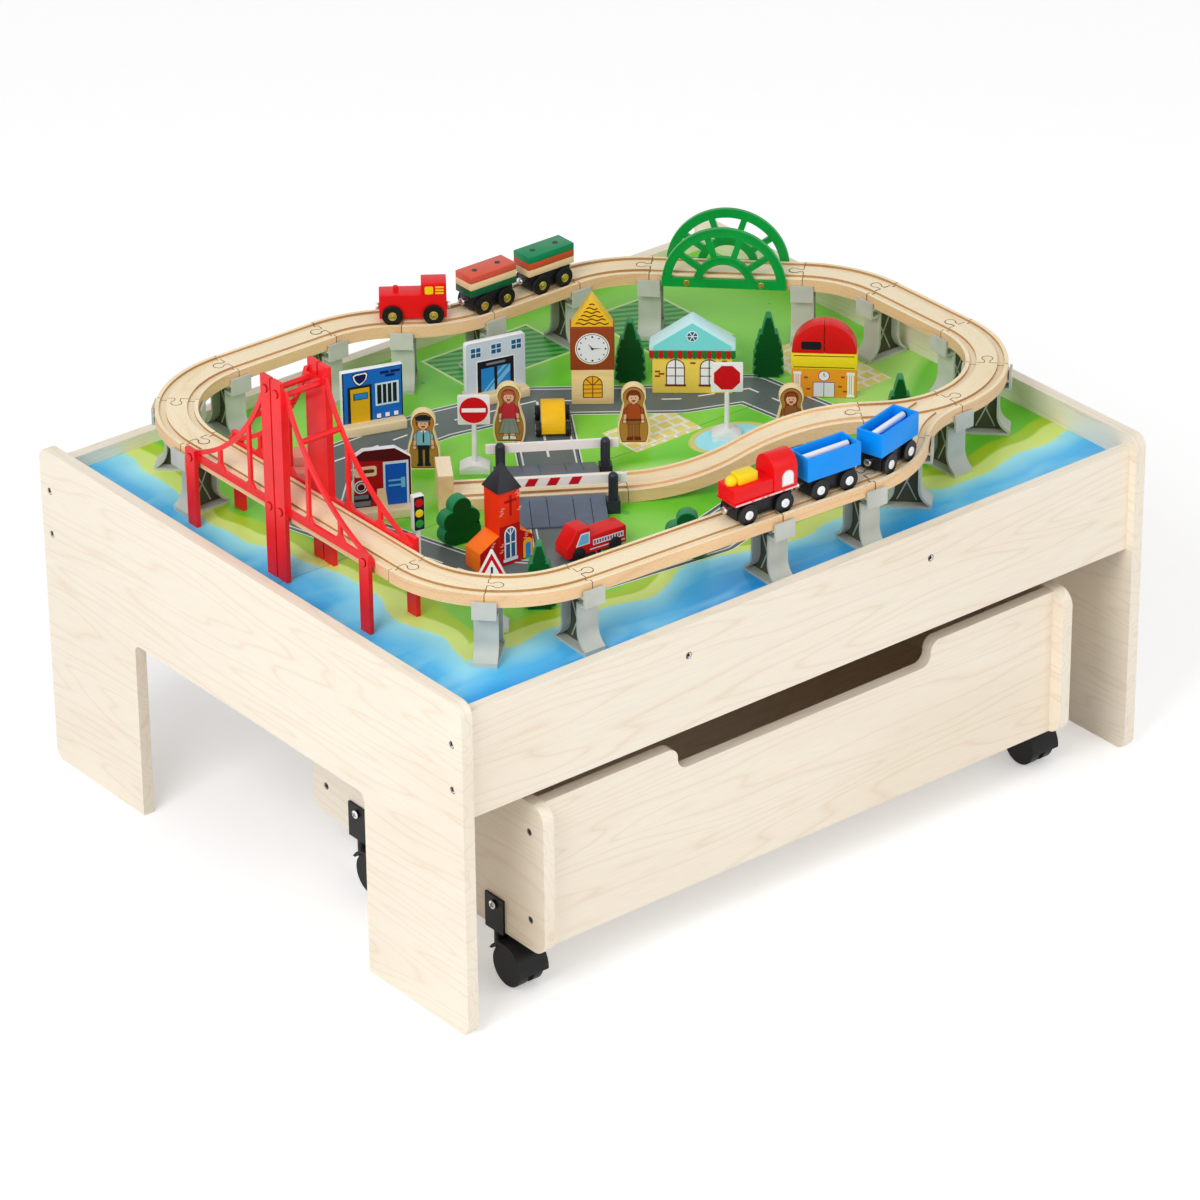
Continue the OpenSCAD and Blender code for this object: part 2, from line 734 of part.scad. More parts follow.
// Level crossing on the flat piece of the spur
module on_crossing() { on_spur(ramp_len + crossing_at, play_z) children(); }
crossing_top = track_t - 0.5;
plank_gap = 1;
plank_cut = 0.7;
flat_run = 8;
toe_h = 1.6;
module crossing_ramps() {
    edge = track_w / 2 + 0.6;
    color([0.38, 0.42, 0.48]) on_crossing() for (s = [0, 1]) mirror([0, s, 0]) difference() {
        translate([-crossing_w / 2, 0, 0]) rotate([90, 0, 90]) linear_extrude(crossing_w)
            polygon([[edge, 0], [edge, crossing_top], [edge + flat_run, crossing_top],
                [crossing_reach, toe_h], [crossing_reach, 0]]);
        for (x = [-crossing_w / 7, crossing_w / 7])
            translate([x - plank_gap / 2, edge - cut, crossing_top - plank_cut])
                cube([plank_gap, flat_run + cut, track_t]);
    }
}
pin_reach = post_r + arm_gap + arm_t + arm_gap;
module crossing_post(pin_side) {
    translate([-post_block / 2, -post_block / 2, 0]) cube([post_block, post_block, post_block_h]);
    translate([0, 0, post_block_h - eps]) cylinder(r = post_r, h = post_h - post_block_h - post_r);
    translate([0, 0, post_h - post_r]) sphere(post_r);
    if (pin_side != 0) translate([0, 0, arm_z]) rotate([pin_side * 90, 0, 0]) {
        cylinder(r = pin_r, h = pin_reach);
        translate([0, 0, pin_reach]) cylinder(r = pin_r + 1.2, h = 1.2);
    }
}
module crossing_posts() {
    color([0.2, 0.22, 0.26]) on_crossing() for (x = [-1, 1]) for (y = [-1, 1])
        translate([x * post_x, y * post_y, 0]) crossing_post(x < 0 ? 1 : 0);
}
module barrier(y) {
    arm_y = y - post_r - arm_gap - arm_t;
    reach = 2 * post_x + 2 * arm_over;
    on_crossing() difference() {
        translate([-post_x - arm_over, arm_y, arm_z - arm_w / 2]) cube([reach, arm_t, arm_w]);
        translate([-post_x, y, arm_z]) rotate([90, 0, 0]) cylinder(r = pin_r + bore_gap, h = 2 * pin_reach);
    }
}
module barrier_back() { color(white) barrier(-post_y); }
module barrier_front() { color(white) barrier(post_y); }

// Wooden houses: three flat panels on wooden feet and four block houses
police_at = [-141.7, 194.2, -18];
police_w = 60.5;
police_h = 63.5;
bank_at = [-14.4, 169.4, -13.8];
bank_w = 62;
bank_h = 63.3;
garage_at = [-235.4, 52.5, -26];
garage_w = 54.5;
garage_h = 71;
garage_eave = 57.5;
clock_at = [64, 111, -38.6];
shop_at = [138, 81, -40.7];
station_at = [234.4, -9.2, -43.3];
church_at = [-211, -102, -3];
panel_foot_h = 10;
panel_foot_d = 16;
panel_foot_front = 6;
module panel_house(w, top) {
    sink = panel_foot_h / 2;
    back = (panel_foot_d - house_t) / 2;
    difference() {
        translate([0, -panel_foot_front, 0]) cube([w, panel_foot_front + panel_foot_d, panel_foot_h]);
        translate([-cut, back, sink]) cube([w + 2 * cut, house_t, panel_foot_h]);
    }
    translate([0, back, 0]) upright(house_t) polygon(concat([[0, sink], [w, sink]], top));
}
garage_top = [[garage_w, garage_eave], [garage_w * 0.72, garage_h],
    [garage_w * 0.18, garage_h - 3], [garage_w * 0.03, garage_eave + 5]];
module panel_houses() {
    color([0.2, 0.45, 0.75]) {
        at(police_at, play_z) panel_house(police_w, [[police_w, police_h], [0, police_h]]);
        at(bank_at, play_z) panel_house(bank_w, [[bank_w, bank_h], [0, bank_h]]);
        at(garage_at, play_z) panel_house(garage_w, garage_top);
    }
}
module clock_tower() {
    w = 40;
    wall_h = 36.5;
    face_h = 44.5;
    cube([w, block_d, wall_h]);
    translate([-1, -1, wall_h]) cube([w + 2, block_d + 2, face_h]);
    translate([0, 0, wall_h + face_h]) upright(block_d) polygon([[0, 0], [w, 0], [w / 2, 30]]);
}
module shop() {
    w = 76;
    wall_h = 45;
    eave = 3;
    eave_h = 5;
    gable_h = 32.5;
    cube([w, block_d, wall_h]);
    translate([0, -1, wall_h]) upright(block_d + 2)
        polygon([[-eave, 0], [w + eave, 0], [w + eave, eave_h], [w / 2, gable_h], [-eave, eave_h]]);
}
module station() {
    w = 61.6;
    wall_h = 29.5;
    band_h = 16.5;
    cube([w, block_d, wall_h]);
    translate([-0.5, -0.5, wall_h]) cube([w + 1, block_d + 1, band_h]);
    translate([w / 2, 0, wall_h + band_h]) upright(block_d) difference() {
        circle(w / 2, $fn = 72);
        translate([-w, -2 * w]) square([2 * w, 2 * w]);
        translate([-0.3, 4]) square([0.6, w]);
    }
}
module church() {
    w = 58.4;
    d = 23;
    tower = 23;
    tower_x = 21.4;
    nave_h = 32;
    wall_h = 20;
    tower_top = 74;
    spire = 24;
    spire_over = 2.5;
    upright(d) polygon([[0, 0], [w, 0], [w, wall_h + 3], [tower_x + tower, nave_h],
        [tower_x, nave_h], [0, wall_h]]);
    translate([tower_x, 0, nave_h]) cube([tower, d, tower_top - nave_h]);
    translate([tower_x + tower / 2, d / 2, tower_top]) rotate([0, 0, 45])
        cylinder(r1 = tower / 2 * sqrt(2) + spire_over, r2 = 0.5, h = spire, $fn = 4);
}
module block_houses() {
    color([0.9, 0.45, 0.2]) {
        at(clock_at, play_z) clock_tower();
        at(shop_at, play_z) shop();
        at(station_at, play_z) station();
        at(church_at, play_z) church();
    }
}

// Trees: flat wooden cut-outs, tiered pines and round-headed trees
PINES = [[139, 115.5, -38.6], [247.5, 40, -38.6], [256, -139, -38.6], [-207.3, -183.7, -38.6]];
ROUND_TREES = [[-187, -40.5, -7], [-46.6, -193.8, -38.6]];
pine_h = 65;
pine_half = 15;
tiers = 6;
module pine() {
    trunk_h = 4;
    rise = (pine_h - trunk_h) / (tiers + 1);
    translate([0, -tree_t / 2, 0]) upright(tree_t) {
        translate([-pine_half * 0.7, 0]) square([pine_half * 1.4, trunk_h + 1]);
        for (k = [0 : tiers - 1]) {
            w = pine_half * (1 - pow(k / tiers, 3));
            translate([0, trunk_h + k * rise])
                polygon([[-w, 0], [w, 0], [w * 0.45, rise * 2], [-w * 0.45, rise * 2]]);
        }
    }
}
module round_tree() {
    lobe = 10;
    trunk = 8;
    crown = 37;
    translate([0, -tree_t / 2, 0]) upright(tree_t) {
        translate([-lobe, 0]) square([2 * lobe, lobe]);
        translate([-trunk, 0]) square([2 * trunk, crown - lobe]);
        for (p = [[-lobe, lobe + 1], [lobe, lobe + 1], [-lobe, 25], [lobe - 1, 24], [0, crown]])
            translate(p) circle(lobe);
    }
}
module trees() {
    color(green) {
        for (p = PINES) at(p, play_z) pine();
        for (p = ROUND_TREES) at(p, play_z) round_tree();
    }
}

// Road signs: a stepped foot, a round post and a plate
octagon_at = [133.7, -34.2, -38.6];
round_at = [-88.8, 63.3, -38.6];
light_at = [-248.8, -61.8, -12];
warning_at = [-262.3, -186.8, -38.6];
plate_w = 30;
plate_t = 3;
light_z = 42;
light_half = 5.5;
light_t = 7;
post_top = sign_h - plate_w;
module sign_foot(h) {
    translate([-14, -10, 0]) cube([28, 20, 5]);
    translate([-9, -6.5, 5]) cube([18, 13, 4]);
    translate([0, 0, 9 - eps]) cylinder(r = 2.2, h = h - 9 + 2 * eps);
}
module road_signs() {
    color(white) {
        for (p = [octagon_at, round_at]) at(p, play_z) {
            sign_foot(post_top);
            translate([-plate_w / 2, -plate_t / 2, post_top]) cube([plate_w, plate_t, plate_w]);
        }
        at(warning_at, play_z) {
            sign_foot(post_top);
            translate([0, -plate_t / 2, post_top]) upright(plate_t)
                polygon([[-plate_w / 2, 0], [plate_w / 2, 0], [0, plate_w]]);
        }
        at(light_at, play_z) {
            sign_foot(light_z);
            translate([-light_half, -light_t / 2, light_z]) cube([2 * light_half, light_t, sign_h - light_z]);
        }
    }
}

// Figures: flat wooden silhouettes
FIGURES = [[-121.8, 97.3, -38.6], [-27.2, 90.2, -38.6], [61, 14.3, -38.6], [171.8, -81.5, -38.6]];
module figure() {
    head = 11.5;
    neck = figure_h - 2 * head;
    translate([0, -figure_t / 2, 0]) upright(figure_t) {
        polygon([[-13, 0], [13, 0], [15, 16], [13, 30],
            [8, neck + 3], [-8, neck + 3], [-13, 30], [-15, 16]]);
        translate([0, figure_h - head]) circle(head);
    }
}
module figures() { color([0.72, 0.52, 0.3]) for (p = FIGURES) at(p, play_z) figure(); }

// Road vehicles: wooden bodies on two fixed axles each, facing -X in their own frame
van_at = [20.7, 85.2, 53.5];
truck_at = [-106.5, -130, -5.4];
car_at = [-221, 150, 50];
under_z = 4;
road_wheel_t = 2;
road_half = 9;
module road_wheels(base, half, r) {
    reach = half + road_wheel_t;
    for (x = [-base / 2, base / 2])
        translate([x, reach, r]) rotate([90, 0, 0]) cylinder(r = r, h = 2 * reach);
}
module van() {
    round_r = 23.3;
    half = 11.3;
    base = 35.5;
    wheel = 7;
    tyre = 3.2;
    road_wheels(base, half + tyre, wheel);
    translate([0, -half, under_z]) upright(2 * half) difference() {
        circle(round_r, $fn = 72);
        translate([-2 * round_r, -4 * round_r]) square(4 * round_r);
    }
}
module fire_truck() {
    half_len = 32;
    cab_end = -7;
    nose_z = 14;
    roof_x = -21;
    bed_z = 21;
    cab_z = 30;
    half = 10;
    wheel = 6.5;
    road_wheels(half_len * 1.2, half, wheel);
    slab(cab_end - eps, half_len, half, under_z, bed_z);
    translate([0, -half, 0]) upright(2 * half) polygon([[-half_len, under_z], [cab_end, under_z],
        [cab_end, cab_z], [roof_x, cab_z], [-half_len, nose_z]]);
}
module small_car() {
    length = 44;
    cab_len = 22;
    sill_z = 17;
    roof_z = 28;
    wheel = 6.5;
    road_wheels(length * 0.6, road_half - 1, wheel);
    slab(-length / 2, length / 2, road_half, under_z, sill_z);
    slab(-cab_len / 2 + 1, cab_len / 2 + 1, road_half, sill_z - eps, roof_z);
}
module road_vehicles() {
    color(red) {
        at(van_at, play_z) van();
        at(truck_at, play_z) fire_truck();
        at(car_at, play_z) small_car();
    }
}

// Drawer
module drawer_screw_places() {
    for (s = [-1, 1]) for (y = screw_ys) for (z = screw_zs)
        translate([s * drawer_w / 2, y, z]) rotate([0, -s * 90, 0]) children();
}
module drawer_side(x) {
    difference() {
        translate([x, 0, 0]) rotate([90, 0, 90]) linear_extrude(board_t)
            translate([drawer_front_y, drawer_z]) round_rect(drawer_d, drawer_h, drawer_r);
        drawer_screw_places() bolt_hole(bolt_len);
        bracket_screw_places()
            cylinder(r = bracket_screw_r + bore_gap, h = 2 * bracket_screw_len, center = true);
    }
}
module drawer_side_left() { color(cream) drawer_side(-drawer_w / 2); }
module drawer_side_right() { color(cream) drawer_side(drawer_in_x); }
module scoop() {
    depth = scoop_d;
    translate([-scoop_half, -depth + scoop_r]) square([2 * scoop_half, depth + cut - scoop_r]);
    translate([-scoop_half + scoop_r, -depth]) square([2 * (scoop_half - scoop_r), depth + cut]);
    for (s = [0, 1]) mirror([s, 0]) {
        translate([scoop_half - scoop_r, -depth + scoop_r]) circle(scoop_r);
        difference() {
            translate([scoop_half - eps, -scoop_r]) square([scoop_r + eps, scoop_r + cut]);
            translate([scoop_half + scoop_r, -scoop_r]) circle(scoop_r);
        }
    }
}
module drawer_end(y) {
    translate([0, y, drawer_z]) upright(board_t) difference() {
        translate([-drawer_in_x, 0]) square([2 * drawer_in_x, drawer_h - 2]);
        children();
    }
}
module drawer_front() {
    color(cream) difference() {
        drawer_end(front_panel_y) translate([0, drawer_h - 2]) scoop();
        drawer_screw_places() bolt_hole(bolt_len);
    }
}
module drawer_back() {
    color(cream) difference() {
        drawer_end(back_panel_y);
        drawer_screw_places() bolt_hole(bolt_len);
    }
}
module drawer_bottom() {
    y0 = front_panel_y + board_t;
    color(cream) translate([-drawer_in_x, y0, drawer_z + drawer_floor_z])
        cube([2 * drawer_in_x, back_panel_y - y0, drawer_floor_t]);
}
module drawer_screws() { color([0.2, 0.2, 0.22]) drawer_screw_places() bolt(bolt_len); }

// Casters: an angle bracket on the drawer's side, a swivelling hood and a pair of wheels
bracket_screw_r = 2;
bracket_screw_len = 10;
bracket_screw_z = drawer_z + bracket_h - 8;
module at_caster(n) {
    translate([CASTERS[n][0] * caster_x, caster_ys[CASTERS[n][1]], 0]) children();
}
module bracket_screw_places() {
    for (n = [0 : 3]) translate([CASTERS[n][0] * drawer_w / 2, caster_ys[CASTERS[n][1]], bracket_screw_z])
        rotate([0, -CASTERS[n][0] * 90, 0]) children();
}
module caster_brackets() {
    color(black) {
        for (n = [0 : 3]) at_caster(n) mirror([CASTERS[n][0] > 0 ? 1 : 0, 0, 0]) {
            difference() {
                translate([-board_t / 2 - bracket_t, -bracket_w / 2, drawer_z - bracket_t])
                    cube([bracket_t, bracket_w, bracket_h + bracket_t]);
                translate([-board_t / 2 - bracket_t - cut, 0, bracket_screw_z]) rotate([0, 90, 0])
                    cylinder(r = bracket_screw_r + bore_gap, h = bracket_t + 2 * cut);
            }
            translate([-board_t / 2 - eps, -bracket_w / 2, drawer_z - bracket_t])
                cube([board_t + eps, bracket_w, bracket_t]);
            translate([0, 0, drawer_z - bracket_t - 16]) cylinder(r = stem_r, h = 16 + eps);
        }
        bracket_screw_places() {
            translate([0, 0, -bracket_t]) cylinder(r = bracket_screw_r, h = bracket_screw_len + bracket_t);
            translate([0, 0, -bracket_t - 2]) cylinder(r = bolt_r + 0.5, h = 2);
        }
    }
}
module caster_hood(n) {
    hood_in = caster_r + hood_gap;
    hood_out = hood_in + hood_t;
    boss_top = drawer_z - bracket_t - stem_gap;
    color(black) at_caster(n) difference() {
        union() {
            translate([0, -caster_trail, caster_r]) rotate([90, 0, 90]) {
                translate([0, 0, -hood_half]) linear_extrude(2 * hood_half) difference() {
                    circle(hood_out, $fn = 72);
                    circle(hood_in, $fn = 72);
                    translate([-2 * hood_out, -2 * hood_out]) square([4 * hood_out, 2 * hood_out - 2]);
                    translate([hood_in * 0.6, -2 * hood_out])
                        square([hood_out, 2 * hood_out + hood_out * 0.5]);
                }
                translate([0, 0, -fork_t / 2]) linear_extrude(fork_t) {
                    circle(hub_r);
                    difference() {
                        circle(hood_in + 0.5, $fn = 72);
                        translate([-2 * hood_out, -2 * hood_out]) square([4 * hood_out, 2 * hood_out]);
                    }
                }
            }
            translate([0, 0, boss_top - 18]) cylinder(r = boss_r, h = 18);
            translate([-fork_t / 2, -caster_trail, caster_r])
                cube([fork_t, caster_trail, boss_top - caster_r - 8]);
        }
        translate([0, -caster_trail, caster_r]) rotate([0, 90, 0])
            cylinder(r = caster_axle_r + bore_gap, h = 4 * fork_t, center = true);
        translate([0, 0, boss_top - 16 - stem_gap]) cylinder(r = stem_r + bore_gap, h = 20);
        for (s = [-1, 1]) translate([0, -caster_trail, caster_r]) rotate([0, s * 90, 0])
            translate([0, 0, fork_t / 2 + eps])
                cylinder(r = hood_in, h = caster_wheel_t + 2 * fork_gap, $fn = 72);
    }
}
module caster_wheels(n) {
    color(black) at_caster(n) translate([0, -caster_trail, caster_r]) rotate([0, 90, 0]) {
        cylinder(r = caster_axle_r, h = fork_t + 2 * fork_gap + 2 * eps, center = true);
        for (s = [-1, 1]) rotate([0, s < 0 ? 180 : 0, 0]) translate([0, 0, fork_t / 2 + fork_gap])
            cylinder(r = caster_r, h = caster_wheel_t, $fn = 72);
    }
}
module caster_hood_1() { caster_hood(0); }
module caster_hood_2() { caster_hood(1); }
module caster_hood_3() { caster_hood(2); }
module caster_hood_4() { caster_hood(3); }
module caster_wheels_1() { caster_wheels(0); }
module caster_wheels_2() { caster_wheels(1); }
module caster_wheels_3() { caster_wheels(2); }
module caster_wheels_4() { caster_wheels(3); }

// Trains: a chassis block with axle bores and couplers, and the body on top; +X is forward
module chassis(length, base) {
    difference() {
        union() {
            translate([-length / 2 + 4, -chassis_half, chassis_z])
                cube([length - 8, 2 * chassis_half, floor_z - chassis_z + eps]);
            translate([-length / 2 - coupler_out, 0, coupler_z]) rotate([0, 90, 0])
                cylinder(r = coupler_r, h = length + 2 * coupler_out);
        }
        for (x = [-base / 2, base / 2]) translate([x, 0, wheel_z]) rotate([90, 0, 0])
            cylinder(r = axle_r + bore_gap, h = 4 * body_half, center = true);
    }
}
module slab(from, to, half, z0, z1) { translate([from, -half, z0]) cube([to - from, 2 * half, z1 - z0]); }
module hopper() {
    wall = 3.5;
    bed_z = floor_z + 4;
    rim_z = floor_z + 23;
    chassis(hopper_len, hopper_base);
    difference() {
        slab(-hopper_len / 2, hopper_len / 2, body_half, floor_z, rim_z);
        slab(-hopper_len / 2 + wall, hopper_len / 2 - wall, body_half - wall, bed_z, rim_z + cut);
    }
    translate([-hopper_len / 2 + wall - eps, 0, rim_z - 5]) rotate([0, 90, 0])
        cylinder(r = 3, h = hopper_len - 2 * wall + 2 * eps);
}
module flat_car() {
    layer = 7;
    load_hole_r = 2.8;
    deck = floor_z + 3 * layer;
    chassis(car_len, car_base);
    difference() {
        slab(-car_len / 2, car_len / 2, car_half, floor_z, deck);
        for (x = [-car_len / 4, car_len / 4])
            translate([x, 0, deck - layer]) cylinder(r = load_hole_r, h = layer + cut);
    }
}
front_pose = along(1, front_engine_at - front_long);
hopper_1_pose = along(1, hopper_1_at - front_long);
hopper_2_pose = along(hopper_2_i, hopper_2_at);
back_engine_pose = along(back_engine_i, back_engine_at);
car_1_pose = along(cars_i, car_1_at);
car_2_pose = along(cars_i, car_2_at);
// a bend pulls a vehicle's middle inward so that both of its axles stay on the track's middle line
function inset(base) = bend_r - sqrt(bend_r * bend_r - base * base / 4);
module on_track(p, back, shift) {
    at(p, top_z) rotate([0, 0, back ? 180 : 0]) translate([0, shift, 0]) children();
}
module place_front_engine() { on_track(front_pose, true, 0) children(); }
module place_hopper_1() { on_track(hopper_1_pose, true, 0) children(); }
module place_hopper_2() { on_track(hopper_2_pose, true, -inset(hopper_base)) children(); }
module place_back_engine() { on_track(back_engine_pose, false, -inset(back_engine_base)) children(); }
module place_car_1() { on_track(car_1_pose, false, 0) children(); }
module place_car_2() { on_track(car_2_pose, false, 0) children(); }
module front_engine() {
    half_len = front_engine_len / 2;
    plate_z = floor_z + 2.5;
    bonnet_z = plate_z + 14;
    cab_z = plate_z + 18;
    color(red) place_front_engine() {
        chassis(front_engine_len, front_engine_base);
        slab(-half_len, half_len, body_half, floor_z, plate_z + eps);
        slab(-8, half_len, body_half - 1, plate_z, bonnet_z);
        slab(4, 25, 7, bonnet_z - eps, bonnet_z + 9);
        translate([half_len - 5.5, 0, bonnet_z + 3]) sphere(5.5);
        translate([-half_len, 0, 0]) rotate([90, 0, 90]) linear_extrude(26) {
            translate([-body_half, plate_z]) square([2 * body_half, cab_z - plate_z]);
            translate([0, cab_z]) circle(body_half);
        }
    }
}
module front_hopper_1() { color(blue) place_hopper_1() hopper(); }
module front_hopper_2() { color(blue) place_hopper_2() hopper(); }
module back_engine() {
    half_len = back_engine_len / 2;
    bonnet_z = floor_z + 9;
    cab_z = bonnet_z + 11.3;
    cab_len = 24;
    chimney_x = 16;
    chimney_r = 2.6;
    color(red) place_back_engine() {
        chassis(back_engine_len, back_engine_base);
        slab(-half_len, half_len, chassis_half, floor_z, bonnet_z);
        slab(-half_len, -half_len + cab_len, chassis_half, bonnet_z - eps, cab_z);
        translate([chimney_x, 0, bonnet_z - eps]) cylinder(r = chimney_r, h = 2 * chimney_r);
    }
}
module back_car_1() { color([0.9, 0.4, 0.25]) place_car_1() flat_car(); }
module back_car_2() { color(green) place_car_2() flat_car(); }
module axle(x) {
    translate([x, 0, wheel_z]) rotate([90, 0, 0]) {
        cylinder(r = axle_r, h = 2 * wheel_in + 2 * eps, center = true);
        for (s = [-1, 1]) rotate([0, s < 0 ? 180 : 0, 0]) translate([0, 0, wheel_in]) {
            cylinder(r = wheel_r, h = wheel_t);
            translate([0, 0, wheel_t - eps]) cylinder(r = 4, h = 0.8);
        }
    }
}
module front_engine_axle_1() { color(black) place_front_engine() axle(front_engine_base / 2); }
module front_engine_axle_2() { color(black) place_front_engine() axle(-front_engine_base / 2); }
module front_hopper_1_axle_1() { color(black) place_hopper_1() axle(hopper_base / 2); }
module front_hopper_1_axle_2() { color(black) place_hopper_1() axle(-hopper_base / 2); }
module front_hopper_2_axle_1() { color(black) place_hopper_2() axle(hopper_base / 2); }
module front_hopper_2_axle_2() { color(black) place_hopper_2() axle(-hopper_base / 2); }
module back_engine_axle_1() { color(black) place_back_engine() axle(back_engine_base / 2); }
module back_engine_axle_2() { color(black) place_back_engine() axle(-back_engine_base / 2); }
module back_car_1_axle_1() { color(black) place_car_1() axle(car_base / 2); }
module back_car_1_axle_2() { color(black) place_car_1() axle(-car_base / 2); }
module back_car_2_axle_1() { color(black) place_car_2() axle(car_base / 2); }
module back_car_2_axle_2() { color(black) place_car_2() axle(-car_base / 2); }

end_panel_left();
end_panel_right();
apron_front();
apron_back();
board_rails();
play_boards();
table_bolts();
track_straights();
track_curves();
track_switch();
track_spur();
piers();
bridge_trusses();
bridge_uprights();
bridge_bars();
arch_sides();
arch_screws();
crossing_ramps();
crossing_posts();
panel_houses();
block_houses();
trees();
road_signs();
figures();
road_vehicles();
drawer_side_left();
drawer_side_right();
drawer_front();
drawer_back();
drawer_bottom();
drawer_screws();
caster_brackets();
caster_hood_1();
caster_hood_2();
caster_hood_3();
caster_hood_4();
caster_wheels_1();
caster_wheels_2();
caster_wheels_3();
caster_wheels_4();
barrier_back();
barrier_front();
front_engine();
front_hopper_1();
front_hopper_2();
back_engine();
back_car_1();
back_car_2();
front_engine_axle_1();
front_engine_axle_2();
front_hopper_1_axle_1();
front_hopper_1_axle_2();
front_hopper_2_axle_1();
front_hopper_2_axle_2();
back_engine_axle_1();
back_engine_axle_2();
back_car_1_axle_1();
back_car_1_axle_2();
back_car_2_axle_1();
back_car_2_axle_2();
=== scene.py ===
# Train table: a low wooden play table with a raised toy railway, bridges, trains and play pieces,
# and a drawer on casters under it. Metres, +Z up, the drawer faces -Y.
import math
import bmesh
import bpy
from mathutils import Matrix, Vector


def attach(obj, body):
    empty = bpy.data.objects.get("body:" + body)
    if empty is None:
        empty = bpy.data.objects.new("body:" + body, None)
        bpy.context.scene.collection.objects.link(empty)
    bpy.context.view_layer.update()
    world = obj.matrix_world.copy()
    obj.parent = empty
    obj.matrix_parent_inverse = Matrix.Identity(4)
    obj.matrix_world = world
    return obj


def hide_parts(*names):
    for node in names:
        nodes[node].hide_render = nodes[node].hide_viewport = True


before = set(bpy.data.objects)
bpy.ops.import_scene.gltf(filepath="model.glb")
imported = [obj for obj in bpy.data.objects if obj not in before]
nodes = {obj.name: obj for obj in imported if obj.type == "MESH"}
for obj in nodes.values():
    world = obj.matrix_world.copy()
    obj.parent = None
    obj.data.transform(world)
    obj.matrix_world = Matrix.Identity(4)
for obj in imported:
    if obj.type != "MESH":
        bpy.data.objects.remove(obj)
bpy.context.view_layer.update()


# Laminated boards: the end panels, aprons and rails of the table.
# Particle board with a pale maple print under a satin melamine skin, sawn and edged, then bolted together.
def ink(r, g, b):
    def linear(c):
        c = c / 255
        return c / 12.92 if c <= 0.04045 else ((c + 0.055) / 1.055) ** 2.4
    return (linear(r), linear(g), linear(b), 1)


def wire(made, wires):
    """links or sets a node's inputs and hands back its outputs"""
    for key, value in wires.items():
        if isinstance(value, bpy.types.NodeSocket):
            made.id_data.links.new(value, made.inputs[key])
        else:
            made.inputs[key].default_value = value
    return made.outputs


def node(tree, kind, wires, **traits):
    made = tree.nodes.new("ShaderNode" + kind)
    for key, value in traits.items():
        setattr(made, key, value)
    return wire(made, wires)


def tree_of(*values):
    """the node tree that the sockets among the values belong to"""
    return next(v.id_data for v in values if isinstance(v, bpy.types.NodeSocket))


def calc(operation, a, b=0.0, clamp=False):
    return node(tree_of(a, b), "Math", {0: a, 1: b}, operation=operation, use_clamp=clamp)[0]


def times(a, b):
    return calc("MULTIPLY", a, b)


def plus(base, value, share, clamp=False):
    return calc("ADD", base, times(value, share), clamp)


def vectors(operation, a, b=(0, 0, 0)):
    out = "Value" if operation in ("LENGTH", "DOT_PRODUCT", "DISTANCE") else "Vector"
    return node(tree_of(a, b), "VectorMath", {0: a, 1: b}, operation=operation)[out]


def stretch(vector, x, y, z):
    return vectors("MULTIPLY", vector, (x, y, z))


def ramp(value, low, high):
    return node(value.id_data, "MapRange", {0: value, 1: low, 2: high, 3: 0.0, 4: 1.0}, clamp=True)[0]


def tint(mask, under, over):
    return node(tree_of(mask, under, over), "Mix", {0: mask, 6: under, 7: over}, data_type="RGBA")[2]


def noise(vector, scale, detail, **more):
    return node(vector.id_data, "TexNoise", {"Vector": vector, "Scale": scale, "Detail": detail, **more})[0]


def spot(tree):
    return node(tree, "TexCoord", {})["Object"]


def turned_spot(tree, turn):
    return node(tree, "Mapping", {0: spot(tree), 2: (0, 0, math.radians(turn))})[0]


def new_group(name, inputs, outputs):
    """a node group with sockets given as name:kind; comes with its inputs and its last node"""
    group = bpy.data.node_groups.new(name, "ShaderNodeTree")
    for way, sockets in (("INPUT", inputs), ("OUTPUT", outputs)):
        for label, kind in (s.split(":") for s in sockets.split()):
            group.interface.new_socket(label, in_out=way, socket_type="NodeSocket" + kind)
    return group, group.nodes.new("NodeGroupInput").outputs, group.nodes.new("NodeGroupOutput")


def new_material(name):
    material = bpy.data.materials.new(name)
    material.use_nodes = True
    return material, material.node_tree


def dress(material, colour, rough, height=None, strength=0.0, depth=0.0002, **levels):
    """wires up a material's colour, roughness and relief, and sets its other levels"""
    wires = {key.replace("_", " "): value for key, value in levels.items()}
    wires.update({"Base Color": colour, "Roughness": rough})
    if height is not None:
        wires["Normal"] = node(height.id_data, "Bump", {"Height": height, "Strength": strength, "Distance": depth})[0]
    wire(material.node_tree.nodes["Principled BSDF"], wires)
    return material


# wood figure: growth lines bent round knots, and fine fibres; x runs along the grain, in metres
wood_grain, given, made = new_group("wood_grain", "Vector:Vector Light:Color Dark:Color Lines:Float Figure:Float",
                                    "Color:Color Height:Float")
hills = noise(stretch(given["Vector"], 1.5, 15, 15), 1.0, 2.0, Roughness=0.42)
rings = calc("PINGPONG", times(hills, given["Lines"]), 0.5)
rings = calc("POWER", times(rings, 2.0), 6.0)
fibres = noise(stretch(given["Vector"], 30, 900, 900), 1.0, 3.0, Roughness=0.6)
flush = noise(stretch(given["Vector"], 3, 9, 9), 1.0, 1.0)
figure = plus(times(rings, given["Figure"]), ramp(fibres, 0.45, 0.75), 0.35)
figure = plus(figure, ramp(flush, 0.45, 0.75), 0.3, True)
wire(made, {"Color": tint(figure, given["Light"], given["Dark"]), "Height": calc("SUBTRACT", 1.0, figure)})


def grained(place, light, dark, lines, figure):
    return node(place.id_data, "Group", {"Vector": place, "Light": light, "Dark": dark, "Lines": lines,
                                         "Figure": figure}, node_tree=wood_grain)


